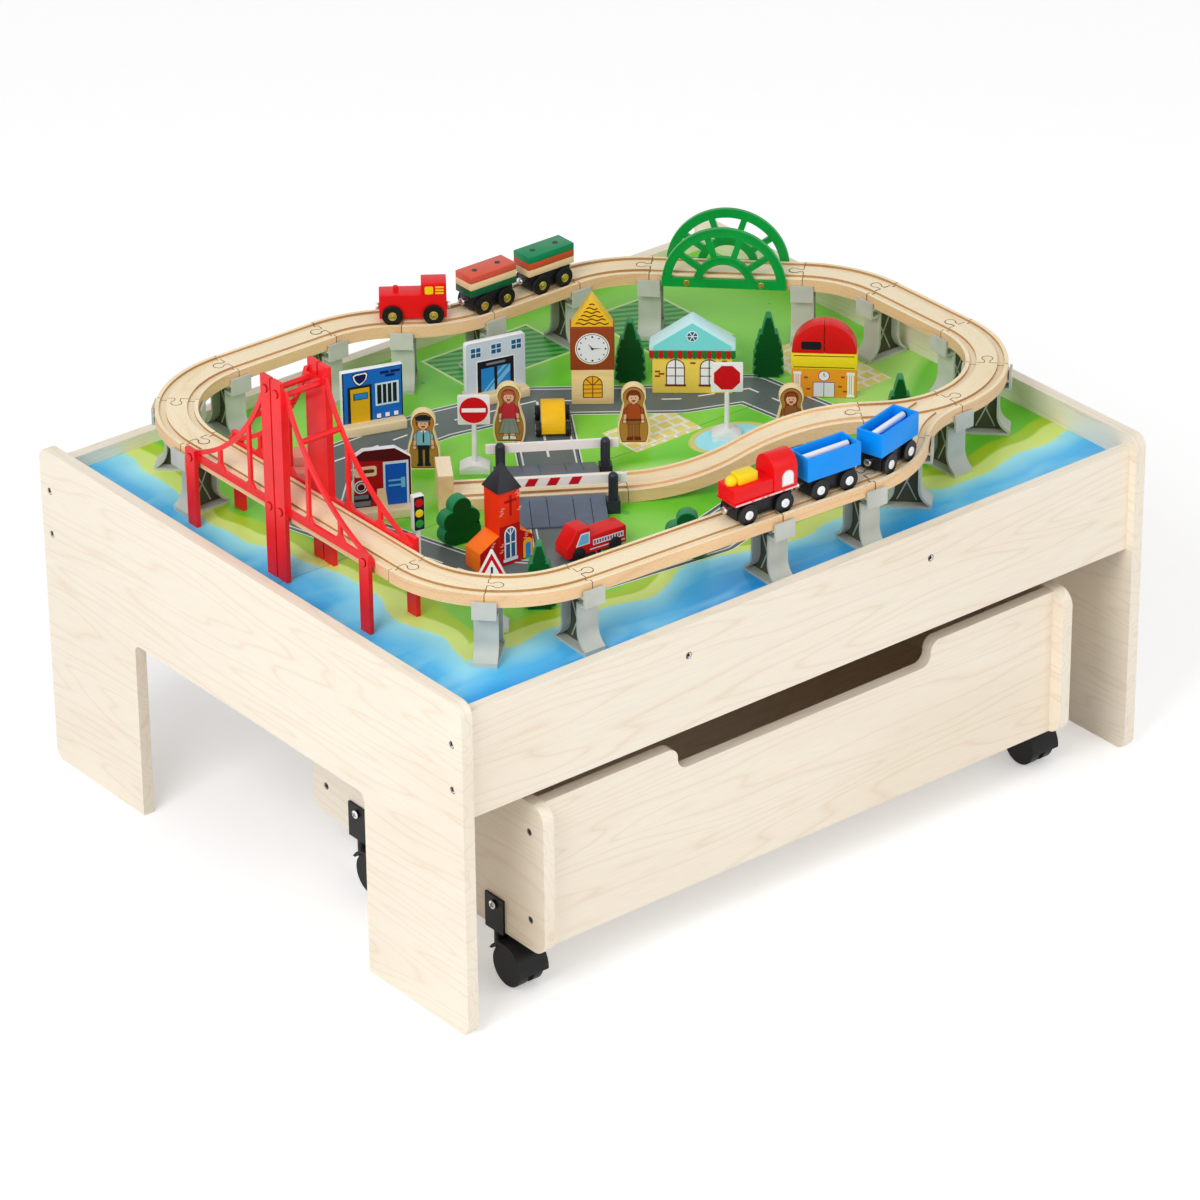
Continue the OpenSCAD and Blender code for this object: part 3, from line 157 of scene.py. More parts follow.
def laminate_board(name, turn):
    material, tree = new_material(name)
    place = turned_spot(tree, turn)
    wood = grained(place, ink(249, 239, 221), ink(234, 214, 188), 22.0, 0.5)
    pores = noise(stretch(place, 120, 1500, 1500), 1.0, 2.0)
    return dress(material, wood["Color"], plus(0.34, pores, 0.14), pores, 0.12, Coat_Weight=0.05, Coat_Roughness=0.25)


laminate_along = laminate_board("laminate_along_width", 0)
laminate_deep = laminate_board("laminate_along_depth", -90)
WELD = 0.000002


def break_corners(piece, edge, limit):
    """rounds the sharp edges of a finished piece; limit is in degrees"""
    for label, kind, traits in (
            ("weld", "WELD", {"merge_threshold": WELD}),
            ("plain_faces", "DECIMATE", {"decimate_type": "DISSOLVE", "angle_limit": math.radians(0.5)}),
            ("broken_corners", "BEVEL", {"width": edge, "segments": 2, "limit_method": "ANGLE",
                                         "angle_limit": math.radians(limit)}),
            ("even_faces", "WEIGHTED_NORMAL", {"weight": 50})):
        work = piece.modifiers.new(label, kind)
        for key, value in traits.items():
            setattr(work, key, value)


def finish_solids(material, edge, *names):
    """CAD solids as they leave the shop: their corners broken and their finish on"""
    for name in names:
        break_corners(nodes[name], edge, 35)
        nodes[name].data.materials.clear()
        nodes[name].data.materials.append(material)


finish_solids(laminate_deep, 0.0009, "end_panel_left", "end_panel_right", "board_rails")
finish_solids(laminate_along, 0.0009, "apron_front", "apron_back")


# Play board: two halves of thin hardboard, printed with a map of water, land and roads and varnished.
# They lie on the rails, butted along a seam across the middle.
def less(a, b):
    return calc("LESS_THAN", a, b)


# one stretch of road: how far a point lies from its middle line, and the dashes of that line
DASH_STEP, DASH_HALF = 0.034, 0.0011
road_stretch, given, made = new_group("road_stretch", "Vector:Vector From:Vector To:Vector",
                                      "Distance:Float Dash:Float")
run = vectors("SUBTRACT", given["To"], given["From"])
here = vectors("SUBTRACT", given["Vector"], given["From"])
ahead = vectors("NORMALIZE", run)
along = calc("MAXIMUM", vectors("DOT_PRODUCT", here, ahead), 0.0)
along = calc("MINIMUM", along, vectors("LENGTH", run))
foot = node(road_stretch, "VectorMath", {0: ahead, 3: along}, operation="SCALE")[0]
aside = vectors("DISTANCE", here, foot)
dash = less(calc("FRACT", calc("DIVIDE", along, DASH_STEP)), 0.5)
wire(made, {"Distance": aside, "Dash": times(dash, less(aside, DASH_HALF))})

RING_ROAD = [(-0.262, 0.085), (-0.215, -0.095), (-0.150, -0.165), (-0.010, -0.180), (0.130, -0.140), (0.225, -0.050),
             (0.215, 0.030), (0.150, 0.055), (0.042, 0.139), (-0.060, 0.160), (-0.190, 0.160)]
CROSS_ROAD = ((-0.150, -0.160), (0.042, 0.136))


def play_print():
    material, tree = new_material("play_print")
    place = spot(tree)
    flat = stretch(place, 1, 1, 0)
    axes = node(tree, "SeparateXYZ", {0: place})
    wander = calc("SUBTRACT", noise(flat, 5.0, 2.0), 0.5)

    def near(axis, at, reach):
        return less(calc("ABSOLUTE", calc("SUBTRACT", axes[axis], at)), reach)

    def within(x, y, wide, deep):
        return times(near(0, x, wide), near(1, y, deep))

    # land: three greens in soft patches
    patch = noise(stretch(flat, 1, 1.5, 1), 4.6, 1.5)
    land = tint(ramp(patch, 0.44, 0.56), ink(142, 224, 78), ink(112, 208, 50))
    land = tint(ramp(patch, 0.58, 0.66), land, ink(180, 236, 120))
    tufts = node(tree, "TexVoronoi", {"Vector": flat, "Scale": 26.0, "Randomness": 1.0})[0]
    land = tint(times(less(tufts, 0.11), 0.55), land, ink(58, 160, 50))
    # shore and water along the front and left edges
    shore = calc("MINIMUM", calc("ADD", axes[0], 0.388), times(calc("ADD", axes[1], 0.299), 0.9))
    shore = plus(shore, wander, 0.14)
    water = noise(stretch(flat, 1, 3.4, 1), 9.0, 2.0, Distortion=0.6)
    sea = tint(ramp(shore, 0.0, 0.034), ink(24, 156, 240), ink(84, 196, 254))
    sea = tint(ramp(shore, 0.038, 0.062), sea, ink(168, 242, 255))
    sea = tint(times(ramp(water, 0.50, 0.66), 0.5), sea, ink(150, 224, 255))
    layers = [(ramp(shore, 0.098, 0.094), ink(176, 214, 44)), (ramp(shore, 0.082, 0.079), ink(224, 244, 132)),
              (ramp(shore, 0.066, 0.063), sea)]
    # a pond inside the ring road
    pond = plus(vectors("DISTANCE", stretch(flat, 1, 1.45, 1), (0.135, -0.055, 0)), wander, 0.05)
    layers += [(ramp(pond, 0.044, 0.042), ink(222, 214, 130)), (ramp(pond, 0.037, 0.036), sea)]
    # paved squares
    squares = node(tree, "TexBrick", {"Vector": flat, "Color1": ink(246, 236, 150), "Color2": ink(240, 222, 120),
                   "Mortar": ink(250, 248, 236), "Scale": 36.0, "Mortar Size": 0.06, "Row Height": 0.5})[0]
    layers += [(within(0.088, 0.020, 0.040, 0.026), squares), (within(0.300, 0.020, 0.034, 0.060), squares)]
    # two fields of crop rows behind the houses
    rows = calc("PINGPONG", calc("ADD", times(axes[0], 0.5), axes[1]), 0.0055)
    rows = tint(ramp(rows, 0.0022, 0.0032), ink(46, 142, 60), ink(98, 190, 84))
    for x, y, wide, deep in ((0.075, 0.238, 0.062, 0.036), (0.235, 0.190, 0.042, 0.058)):
        layers += [(within(x, y, wide + 0.003, deep + 0.003), ink(214, 240, 160)), (within(x, y, wide, deep), rows)]
    # roads with dark and white edge lines and a dashed middle line
    distance, dashes = 1.0, 0.0
    for start, stop in [*zip(RING_ROAD, RING_ROAD[1:] + RING_ROAD[:1]), CROSS_ROAD]:
        part = node(tree, "Group", {"Vector": flat, "From": (*start, 0), "To": (*stop, 0)}, node_tree=road_stretch)
        distance = calc("MINIMUM", distance, part["Distance"])
        dashes = calc("MAXIMUM", dashes, part["Dash"])
    tarmac = tint(noise(flat, 900.0, 1.0), ink(88, 100, 100), ink(112, 124, 122))
    line = node(tree, "Math", {0: distance, 1: 0.0248, 2: 0.0008}, operation="COMPARE")[0]
    layers += [(less(distance, 0.0305), ink(236, 244, 238)), (less(distance, 0.0292), ink(48, 58, 58)),
               (less(distance, 0.0280), tarmac), (line, ink(240, 244, 242)), (dashes, ink(244, 246, 244))]
    # a striped foot crossing
    walk = times(times(near(0, 0.066, 0.013), less(distance, 0.0225)), less(axes[1], -0.05))
    bars = less(calc("FRACT", times(axes[1], 110.0)), 0.5)
    layers.append((times(walk, bars), ink(244, 246, 244)))
    map_face = land
    for mask, over in layers:
        map_face = tint(mask, map_face, over)
    # the sawn edges and the underside are bare hardboard
    up = node(tree, "SeparateXYZ", {0: node(tree, "NewGeometry", {})["Normal"]})[2]
    felt = noise(place, 1400.0, 2.0)
    bare = tint(felt, ink(120, 84, 52), ink(150, 110, 72))
    return dress(material, tint(calc("GREATER_THAN", up, 0.6), bare, map_face), plus(0.30, felt, 0.12), felt, 0.06,
                 Specular_IOR_Level=0.22, Coat_Weight=0.05, Coat_Roughness=0.2)


finish_solids(play_print(), 0.0004, "play_boards")


# Bolts: turned steel heads with a hexagon socket, black oxide finish, sunk in the boards.
# Eight go through the end panels into the aprons and four through the aprons into the rails.
def toned(colour, share):
    return tuple(min(1, c * share) for c in colour[:3]) + (1,)


def steel(name, colour, rough):
    material, tree = new_material(name)
    marks = noise(spot(tree), 900.0, 3.0)
    return dress(material, tint(marks, colour, toned(colour, 1.5)), plus(rough, marks, 0.15), Metallic=1.0)


dark_steel = steel("dark_steel", ink(92, 90, 92), 0.24)
finish_solids(dark_steel, 0.0003, "table_bolts")
SHOP_MM = 0.001
SHARP = math.radians(38)
PART_WELD, BREAK_FROM = 0.0001, 0.6


def new_toy():
    return {"bm": bmesh.new(), "paints": []}


def set_down(toy, pose, z):
    """moves a toy drawn in millimetres in its own frame to its [x, y, heading] on the table"""
    place = Matrix.Translation((pose[0] * SHOP_MM, pose[1] * SHOP_MM, z * SHOP_MM))
    place = place @ Matrix.Rotation(math.radians(pose[2]), 4, "Z") @ Matrix.Scale(SHOP_MM, 4)
    bmesh.ops.transform(toy["bm"], matrix=place, verts=toy["bm"].verts)


def glue(toy, bm):
    shape = bpy.data.meshes.new("part")
    bm.to_mesh(shape)
    bm.free()
    toy["bm"].from_mesh(shape)
    bpy.data.meshes.remove(shape)


def fix(toy, part, paint, edge=0.4, rounds=2):
    """breaks a part's edges, paints it and glues it to its toy"""
    bmesh.ops.remove_doubles(part, verts=part.verts, dist=PART_WELD)
    bmesh.ops.recalc_face_normals(part, faces=part.faces)
    if edge:
        sharp = [e for e in part.edges if e.is_manifold and e.calc_face_angle(0.0) > BREAK_FROM]
        bmesh.ops.bevel(part, geom=sharp, offset=edge, offset_type="OFFSET", affect="EDGES", segments=rounds,
                        profile=0.5, material=-1, clamp_overlap=True)
    if paint not in toy["paints"]:
        toy["paints"].append(paint)
    for face in part.faces:
        face.material_index = toy["paints"].index(paint)
        face.smooth = True
    glue(toy, part)


def join(whole, toy, pose, z):
    """sets one of several like toys down and glues it to the whole"""
    set_down(toy, pose, z)
    glue(whole, toy["bm"])
    whole["paints"] = toy["paints"]


def new_piece(name, bm, materials):
    shape = bpy.data.meshes.new(name)
    bm.to_mesh(shape)
    bm.free()
    for material in materials:
        shape.materials.append(material)
    piece = bpy.data.objects.new(name, shape)
    bpy.context.scene.collection.objects.link(piece)
    return piece


def hand_over(toy, name, body, slot, *stands_for):
    """makes the finished toy one piece that rides on its body"""
    piece = new_piece(name, toy["bm"], toy["paints"])
    piece.data.set_sharp_from_angle(angle=SHARP)
    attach(piece, body)
    if stands_for:
        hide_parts(*stands_for)


def pull(part, face, way):
    """extrudes a face of a part"""
    grown = bmesh.ops.extrude_face_region(part, geom=[face])
    bmesh.ops.translate(part, verts=[v for v in grown["geom"] if isinstance(v, bmesh.types.BMVert)], vec=way)


def plate(toy, outline, front, back, paint, edge=0.3, rounds=2):
    """a flat part: an outline in width and height, extruded from its front to its back along the depth"""
    part = bmesh.new()
    pull(part, part.faces.new([part.verts.new((x, front, z)) for x, z in outline]), (0, back - front, 0))
    fix(toy, part, paint, edge, rounds)


def arc(x, z, r, start, stop, count=24):
    turns = [math.radians(start + (stop - start) * k / count) for k in range(count + 1)]
    return [(x + r * math.cos(a), z + r * math.sin(a)) for a in turns]


# painted highlight: a bright steel crescent on the lower lip of each head, where the light catches it
highlight_steel = steel("highlight_steel", ink(196, 194, 190), 0.22)
HIGHLIGHT_CRESCENT = arc(0, 0, 2.8, -110, 70, 20) + arc(0, 0, 1.5, 70, -110, 20)
heads = [(side * 400, way * 305.4, side * 90, z) for side in (-1, 1) for way in (-1, 1) for z in (245.3, 290.3)]
heads += [(x, side * 311.4, 90 + side * 90, 288.3) for side in (-1, 1) for x in (-142, 142)]
highlight_crescents = new_toy()
for *pose, z in heads:
    crescent = new_toy()
    plate(crescent, HIGHLIGHT_CRESCENT, 0.4, 0.9, highlight_steel, 0.15, 1)
    join(highlight_crescents, crescent, pose, z)
hand_over(highlight_crescents, "bolt_highlights", "table", "dark_steel")


# Piers: eighteen moulded plastic columns with flared feet, a web between two flanges and clip plates on top.
# Slanted ribs stiffen each web; the piers stand loose on the board and clip on at the joints of the track.
def moulded(name, colour, rough, coat=0.0):
    material, tree = new_material(name)
    place = spot(tree)
    flow, peel = noise(place, 28.0, 2.0), noise(place, 1100.0, 1.0)
    return dress(material, tint(ramp(flow, 0.35, 0.65), toned(colour, 0.84), colour), plus(rough, flow, 0.10),
                 peel, 0.08, Specular_IOR_Level=0.25, Coat_Weight=coat, Coat_Roughness=0.12)


pier_grey = moulded("pier_grey", ink(205, 208, 198), 0.38)
# painted shade: a dark grey-olive for the recessed web between the flanges
pier_web_painted_shade = moulded("pier_web_painted_shade", ink(88, 88, 66), 0.45)
finish_solids(pier_grey, 0.0004, "piers")
BEND_R = 110.0
PLAY_Z = 306.3


def step(pose, length, turn):
    """the pose [x, y, heading] at the end of a straight, or of a bend of the common radius"""
    x, y, heading = pose
    before, after = math.radians(heading), math.radians(heading + turn)
    if turn == 0:
        return (x + length * math.cos(before), y + length * math.sin(before), heading)
    hand = math.copysign(BEND_R, turn)
    return (x + hand * (math.sin(after) - math.sin(before)), y + hand * (math.cos(before) - math.cos(after)),
            heading + turn)


LOOP = [(208, 0), (104, 0), (0, 48), (0, -45), (0, 45), (0, 45), (106, 0), (0, 45), (148, 0), (0, 45), (104, 0),
        (0, -41.5), (0, 41.5), (112.698, 0), (0, 45), (0, 45), (313.988, 0), (0, 43.5), (0, 43.5)]
JOINTS = [(-222.0, -258.5, -3.0)]
for length, turn in LOOP:
    JOINTS.append(step(JOINTS[-1], length, turn))
JOINTS.pop()  # the loop closes on its first joint
BARE_JOINT = 17


def slab(toy, place, size, paint, edge=0.5, rounds=2):
    """a box about the origin of its place"""
    part = bmesh.new()
    bmesh.ops.create_cube(part, size=1, matrix=place @ Matrix.Diagonal((*size, 1)))
    fix(toy, part, paint, edge, rounds)


# the web's outline, for dark sheets laid on both its faces as painted shade between the flanges
WEB = (arc(31, 21, 20.4, 245, 180, 10) + [(10.6, 44), (-10.6, 44)] + arc(-31, 21, 20.4, 0, -65, 10)
       + [(-22.4, 1.2), (22.4, 1.2)])
RIB_TALL, RIB_ASIDE = 38, 18
pier_ribs_and_shade = new_toy()
for x, y, heading in JOINTS[:BARE_JOINT] + JOINTS[BARE_JOINT + 1:]:
    ribs_and_shade = new_toy()
    for side in (-1, 1):
        plate(ribs_and_shade, WEB, side * 1.3, side * 1.75, pier_web_painted_shade, 0)
        for way in (-1, 1):
            lean = Matrix.Rotation(math.atan2(way * RIB_ASIDE, RIB_TALL), 4, "Y")
            slab(ribs_and_shade, Matrix.Translation((0, side * 1.9, 24)) @ lean, (1.3, 1.2, math.hypot(RIB_ASIDE, RIB_TALL)),
                 pier_grey, 0.2, 1)
    join(pier_ribs_and_shade, ribs_and_shade, (x, y, heading + 90), PLAY_Z)
hand_over(pier_ribs_and_shade, "pier_ribs_and_shade", "table", "pier_grey")


# Track: straights, bends, the switch, the ramp and its buffer, sawn and routed from beech and sanded bare.
# Round pegs join the pieces, and the grain runs along each piece, so each carries its own grain map.
def sanded(material, colour, wood):
    return dress(material, colour, plus(0.46, wood["Height"], 0.12), wood["Height"], 0.15, 0.0003)


def beech_wood(name, light, dark):
    material, tree = new_material(name)
    lie = node(tree, "SeparateXYZ", {0: node(tree, "UVMap", {}, uv_map="grain")[0]})
    high = node(tree, "SeparateXYZ", {0: spot(tree)})[2]
    place = node(tree, "CombineXYZ", {0: lie[0], 1: lie[1], 2: high})[0]
    wood = grained(place, light, dark, 9.0, 0.45)
    fleck = node(tree, "TexVoronoi", {"Vector": stretch(place, 130, 900, 900), "Scale": 1.0})[0]
    tone = noise(stretch(place, 2.5, 2.5, 2.5), 1.0, 0.0)
    colour = tint(times(less(fleck, 0.16), 0.55), wood["Color"], toned(dark, 0.62))
    return sanded(material, tint(times(ramp(tone, 0.4, 0.65), 0.4), colour, dark), wood)


beech = beech_wood("beech", ink(255, 240, 206), ink(242, 212, 164))
# darker copies of the beech as painted shade: a tan for the upright sides and a brown for the groove walls
beech_side_shade = beech_wood("beech_side_shade", ink(244, 206, 158), ink(224, 176, 124))
beech_groove_shade = beech_wood("beech_groove_shade", ink(196, 152, 98), ink(164, 118, 68))
GROOVE_DEEP, UPRIGHT = 0.004, 0.4
GRAIN_SHIFT = (0.61, 0.23)


def sawn_copy(name, lies):
    """a copy of a node's solids, each with a grain map along the nearest of the given [x, y, heading]"""
    bm = bmesh.new()
    bm.from_mesh(nodes[name].data)
    bmesh.ops.remove_doubles(bm, verts=bm.verts, dist=WELD)
    grain = bm.loops.layers.uv.new("grain")
    waiting = dict.fromkeys(bm.faces)
    count = 0
    while waiting:
        solid = [next(iter(waiting))]
        del waiting[solid[0]]
        for face in solid:
            for other in (f for e in face.edges for f in e.link_faces):
                if other in waiting:
                    del waiting[other]
                    solid.append(other)
        spots = dict.fromkeys(v for f in solid for v in f.verts)
        middle = sum((v.co for v in spots), Vector()) / len(spots)
        x, y, heading = min(lies, key=lambda p: math.dist((p[0] * SHOP_MM, p[1] * SHOP_MM), middle.xy))
        c, s = math.cos(math.radians(heading)), math.sin(math.radians(heading))
        count += 1
        for face in solid:
            heights = [v.co.z for v in face.verts]
            upright = abs(face.normal.z) < UPRIGHT
            face.smooth = True
            # upright faces take the painted shade: the sides the darker tan, the short groove walls the brown
            face.material_index = 0 if not upright else 1 if max(heights) - min(heights) > GROOVE_DEEP else 2
            for loop in face.loops:
                dx, dy = loop.vert.co.x - x * SHOP_MM, loop.vert.co.y - y * SHOP_MM
                loop[grain].uv = (dx * c + dy * s + GRAIN_SHIFT[0] * count, dy * c - dx * s + GRAIN_SHIFT[1] * count)
    piece = new_piece(name + "_wood", bm, (beech, beech_side_shade, beech_groove_shade))
    break_corners(piece, 0.0007, 40)
    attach(piece, "table")
    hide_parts(name)


middles = [step(start, length / 2, turn / 2) for (length, turn), start in zip(LOOP, JOINTS)]
sawn_copy("track_straights", [middles[i] for i in (0, 1, 6, 8, 10, 13, 16)])
sawn_copy("track_curves", [middles[i] for i in (2, 4, 5, 7, 9, 11, 12, 14, 15, 17, 18)])
sawn_copy("track_switch", [middles[3]])
sawn_copy("track_spur", [(90, -125, 147), (-80, -17, 147), (-150, 28, 57)])


def bar(toy, a, b, wide, tall, paint):
    """a thin straight bar from a to b"""
    a, b = Vector(a), Vector(b)
    turn = (b - a).to_track_quat("X", "Z").to_matrix().to_4x4()
    slab(toy, Matrix.Translation((a + b) / 2) @ turn, ((b - a).length, wide, tall), paint, 0)


# the shadow lines where two pieces meet and round the head of each peg
seam_dark = beech_wood("seam_dark", ink(108, 74, 40), ink(72, 46, 24))
RAIL_Z = 376.3
SPUR_JOINTS = [((170.85, -179.72, 147), RAIL_Z), ((-10.3, -62.08, 147), PLAY_Z + 12)]
PEG_HEAD = arc(9, 0, 5.1, -148, 148, 12)
seams = new_toy()
for pose, high in [(pose, RAIL_Z) for pose in JOINTS] + SPUR_JOINTS:
    lines = new_toy()
    for side in (-1, 1):
        for start, stop, z in ((2.6, 9.6, 0), (9.9, 16.1, -2.5), (16.4, 19.6, 0)):
            bar(lines, (0, side * start, z), (0, side * stop, z), 0.65, 0.16, seam_dark)
        bar(lines, (0, side * 2.6, 0), (4.8, side * 2.6, 0), 0.7, 0.16, seam_dark)
        bar(lines, (0, side * 20.02, -11.6), (0, side * 20.02, -0.5), 0.1, 0.5, seam_dark)
    for a, b in zip(PEG_HEAD, PEG_HEAD[1:]):
        bar(lines, (*a, 0), (*b, 0), 0.75, 0.16, seam_dark)
    join(seams, lines, pose, high)
grain = seams["bm"].loops.layers.uv.new("grain")
for face in seams["bm"].faces:
    for loop in face.loops:
        loop[grain].uv = loop.vert.co.xy
hand_over(seams, "track_seams", "table", "beech")


# Red bridge: two moulded trusses screwed between tower pillars and end legs, with round cross bars.
# Bright red gloss plastic; small gussets stiffen the hangers where they meet the rail,
# and a dark red ring of painted shade lies round each bolt head.
def put(toy, name, pose, slot, *stands_for, z=PLAY_Z, body="table"):
    """sets a finished toy down, on the play board unless told otherwise, and hands it over"""
    set_down(toy, pose, z)
    hand_over(toy, name, body, slot, *stands_for)


bridge_red = moulded("bridge_red", ink(250, 34, 40), 0.26, 0.06)
# painted shade: a dark red for the thin rings round the bolt heads
bridge_painted_shade = moulded("bridge_painted_shade", ink(126, 8, 16), 0.4)
for name, edge in (("bridge_trusses", 0.0005), ("bridge_uprights", 0.0007), ("bridge_bars", 0.0004)):
    finish_solids(bridge_red, edge, name)
BRIDGE = (*middles[16][:2], 90)
BRIDGE_RUN = 116.0
DECK_Z = 364.3
SIDE_RAIL_Z = DECK_Z + 15
BOLT_LOW, BOLT_HIGH = DECK_Z + 11.5, PLAY_Z + 186
gussets, bolt_shade_rings = new_toy(), new_toy()
for side, near in ((-1, -23.5), (1, 20.5)):
    for u in [way * (15 + BRIDGE_RUN * share) for way in (-1, 1) for share in (0.25, 0.65)]:
        for hand in (-1, 1):
            x = u + hand * 2.1
            plate(gussets, [(x, SIDE_RAIL_Z - 0.3), (x + hand * 5.5, SIDE_RAIL_Z - 0.3), (x, SIDE_RAIL_Z + 6)],
                  near + 0.2, near + 2.8, bridge_red, 0.2, 1)
    for u, z in [(way * u, z) for way in (-1, 1) for u, z in ((8, BOLT_LOW), (8, BOLT_HIGH), (131, BOLT_LOW))]:
        for start in (0, 180):
            ring = arc(u, z, 4.2, start, start + 180, 12) + arc(u, z, 3.45, start + 180, start, 12)
            plate(bolt_shade_rings, ring, side * 27.8, side * 28.2, bridge_painted_shade, 0)
put(gussets, "bridge_gussets", BRIDGE, "bridge_red", z=0)
put(bolt_shade_rings, "bridge_bolt_shade_rings", BRIDGE, "bridge_red", z=0)


# Green arch: two half-round spoked sides in gloss plastic, held to the track by brass screws.
# A raised rim runs round the outer and the inner ring of each side.
arch_green = moulded("arch_green", ink(4, 164, 66), 0.28, 0.06)
brass = steel("brass", ink(222, 186, 106), 0.2)
finish_solids(arch_green, 0.0006, "arch_sides")
finish_solids(brass, 0.0003, "arch_screws")
arch_rims = new_toy()
for side in (-1, 1):
    for outer, wide in ((60.0, 2.2), (52.8, 1.8), (30.0, 1.8), (23.8, 1.8)):
        plate(arch_rims, arc(0, 0, outer, 9, 171, 48) + arc(0, 0, outer - wide, 171, 9, 48), side * 24.3, side * 25.1,
              arch_green, 0.25, 1)
put(arch_rims, "arch_rims", step(middles[8], 1.2, 0), "arch_green", z=DECK_Z + 4.5)


# Level crossing: two painted plank ramps beside the spur, four dark posts with round tops,
# and two white barrier arms on pins, the front one with slanted red blocks.
paint_skin, given, made = new_group("paint_skin", "Vector:Vector Colour:Color Shade:Color Grain:Float",
                                    "Color:Color Roughness:Float Height:Float")
strokes = noise(stretch(given["Vector"], 60, 60, 420), 1.0, 3.0)
cloud = noise(given["Vector"], 55.0, 2.0)
worn = plus(times(ramp(strokes, 0.4, 0.7), given["Grain"]), ramp(cloud, 0.5, 0.75), 0.3, True)
wire(made, {"Color": tint(worn, given["Colour"], given["Shade"]), "Roughness": plus(0.30, cloud, 0.16),
            "Height": strokes})


def painted(name, colour, shade=0.86, grain=0.3, coat=0.03):
    """brushed or rolled paint on sanded wood: the grain shows faintly through"""
    material, tree = new_material(name)
    wet = node(tree, "Group", {"Vector": spot(tree), "Colour": colour, "Shade": toned(colour, shade), "Grain": grain},
               node_tree=paint_skin)
    return dress(material, wet["Color"], wet["Roughness"], wet["Height"], 0.07, Specular_IOR_Level=0.2,
                 Coat_Weight=coat, Coat_Roughness=0.15)


def mix(**cans):
    """paints in the order given, each from red, green and blue, and where they differ shade, grain and coat"""
    return [painted(name, ink(*can[:3]), *can[3:]) for name, can in cans.items()]


road_grey, plank_dark, white_paint, red_paint = mix(
    road_grey=(104, 116, 132, 0.8, 0.5, 0.0), plank_dark=(58, 66, 80, 0.8, 0.5, 0.0),
    white_paint=(246, 242, 240, 0.95, 0.2), red_paint=(202, 22, 34, 0.86, 0.2))
post_dark = moulded("post_dark", ink(44, 48, 58), 0.3, 0.06)
finish_solids(road_grey, 0.0005, "crossing_ramps")
finish_solids(post_dark, 0.0005, "crossing_posts")
finish_solids(white_paint, 0.0005, "barrier_back", "barrier_front")
CROSSING = (-63.973, -27.227, 147.0)
planks = new_toy()
for side in (-1, 1):
    for x in (-28, -12, 12, 28):
        bar(planks, (x, side * 28.8, 11.44), (x, side * 61.8, 1.62), 0.9, 0.2, plank_dark)
put(planks, "plank_lines", CROSSING, "road_grey")
blocks = new_toy()
for face in (26.9, 30.1):
    for x in (-14.5, 5.5, 25.5):
        plate(blocks, [(x + 6.5, 27.2), (x - 2.5, 27.2), (x - 6.5, 34.8), (x + 2.5, 34.8)], face, face + 0.2,
              red_paint, 0)
put(blocks, "barrier_front_blocks", CROSSING, "white_paint", body="barrier_front")


# Panel houses: three thin wooden panels, printed on the front and set in grooved wooden feet.
# The walls are painted in blue, pale grey-blue and dark red, with doors, windows and plain plaques.
def rect(x0, z0, x1, z1):
    return [(x0, z0), (x1, z0), (x1, z1), (x0, z1)]


def disc(x, z, r, count=32):
    return arc(x, z, r, 0, 360 - 360 / count, count - 1)


def soft_square(x0, z0, x1, z1, r):
    return (arc(x0 + r, z0 + r, r, 180, 270, 5) + arc(x1 - r, z0 + r, r, 270, 360, 5)
            + arc(x1 - r, z1 - r, r, 0, 90, 5) + arc(x0 + r, z1 - r, r, 90, 180, 5))


PAINT_SKIN, PAINT_KEY = 0.14, 0.06


def prints(toy, face, *rows, hand=-1):
    """printed fields, each a skin a hair proud of the one below: rows of paint, level and outlines or corners"""
    for paint, level, *outlines in rows:
        for outline in outlines:
            outline = rect(*outline) if isinstance(outline, tuple) else outline
            plate(toy, outline, face + hand * PAINT_SKIN * level, face - hand * PAINT_KEY, paint, 0)


def block(toy, low, high, paint, edge=0.5, rounds=2):
    middle = [(a + b) / 2 for a, b in zip(low, high)]
    slab(toy, Matrix.Translation(middle), [b - a for a, b in zip(low, high)], paint, edge, rounds)


def raw_wood(name, light, dark, turn=0):
    material, tree = new_material(name)
    wood = grained(turned_spot(tree, turn), light, dark, 7.0, 0.4)
    return sanded(material, wood["Color"], wood)


bare_wood = raw_wood("bare_wood", ink(246, 226, 184), ink(226, 194, 142), 12)
wall_blue, wall_pale, wall_maroon, wall_shadow, door_yellow, door_blue, plaque_cream, stripe_grey = mix(
    wall_blue=(24, 108, 204), wall_pale=(206, 218, 232, 0.93), wall_maroon=(176, 10, 18), wall_shadow=(84, 10, 16),
    door_yellow=(226, 178, 26), door_blue=(14, 92, 198), plaque_cream=(246, 216, 172, 0.95, 0.2),
    stripe_grey=(128, 128, 134))
glass_blue, glass_light, glass_pale, pane_dark, navy, line_brown, line_black, line_white = mix(
    glass_blue=(40, 140, 214, 0.8), glass_light=(120, 192, 236, 0.9), glass_pale=(212, 236, 250, 0.95, 0.1),
    pane_dark=(40, 92, 138, 0.9, 0.1), navy=(16, 24, 88, 0.9, 0.1), line_brown=(106, 44, 26, 0.9),
    line_black=(26, 28, 34, 0.9, 0.1), line_white=(246, 248, 250, 0.96, 0.1))
PANEL_FACE = 5.0


def panel_house(wide, top, wall):
    """a printed panel in its foot; top is the panel's upper edge from right to left"""
    toy = new_toy()
    block(toy, (0, -6, 0), (wide, 16, 10), bare_wood, 1.4, 3)
    plate(toy, [(0, 5), (wide, 5)] + top, PANEL_FACE, PANEL_FACE + 6, line_white, 0.5)
    inset = [(x + math.copysign(0.6, wide / 2 - x), z - 0.6) for x, z in top]
    prints(toy, PANEL_FACE, (wall, 1, [(0.6, 9), (wide - 0.6, 9)] + inset))
    return toy


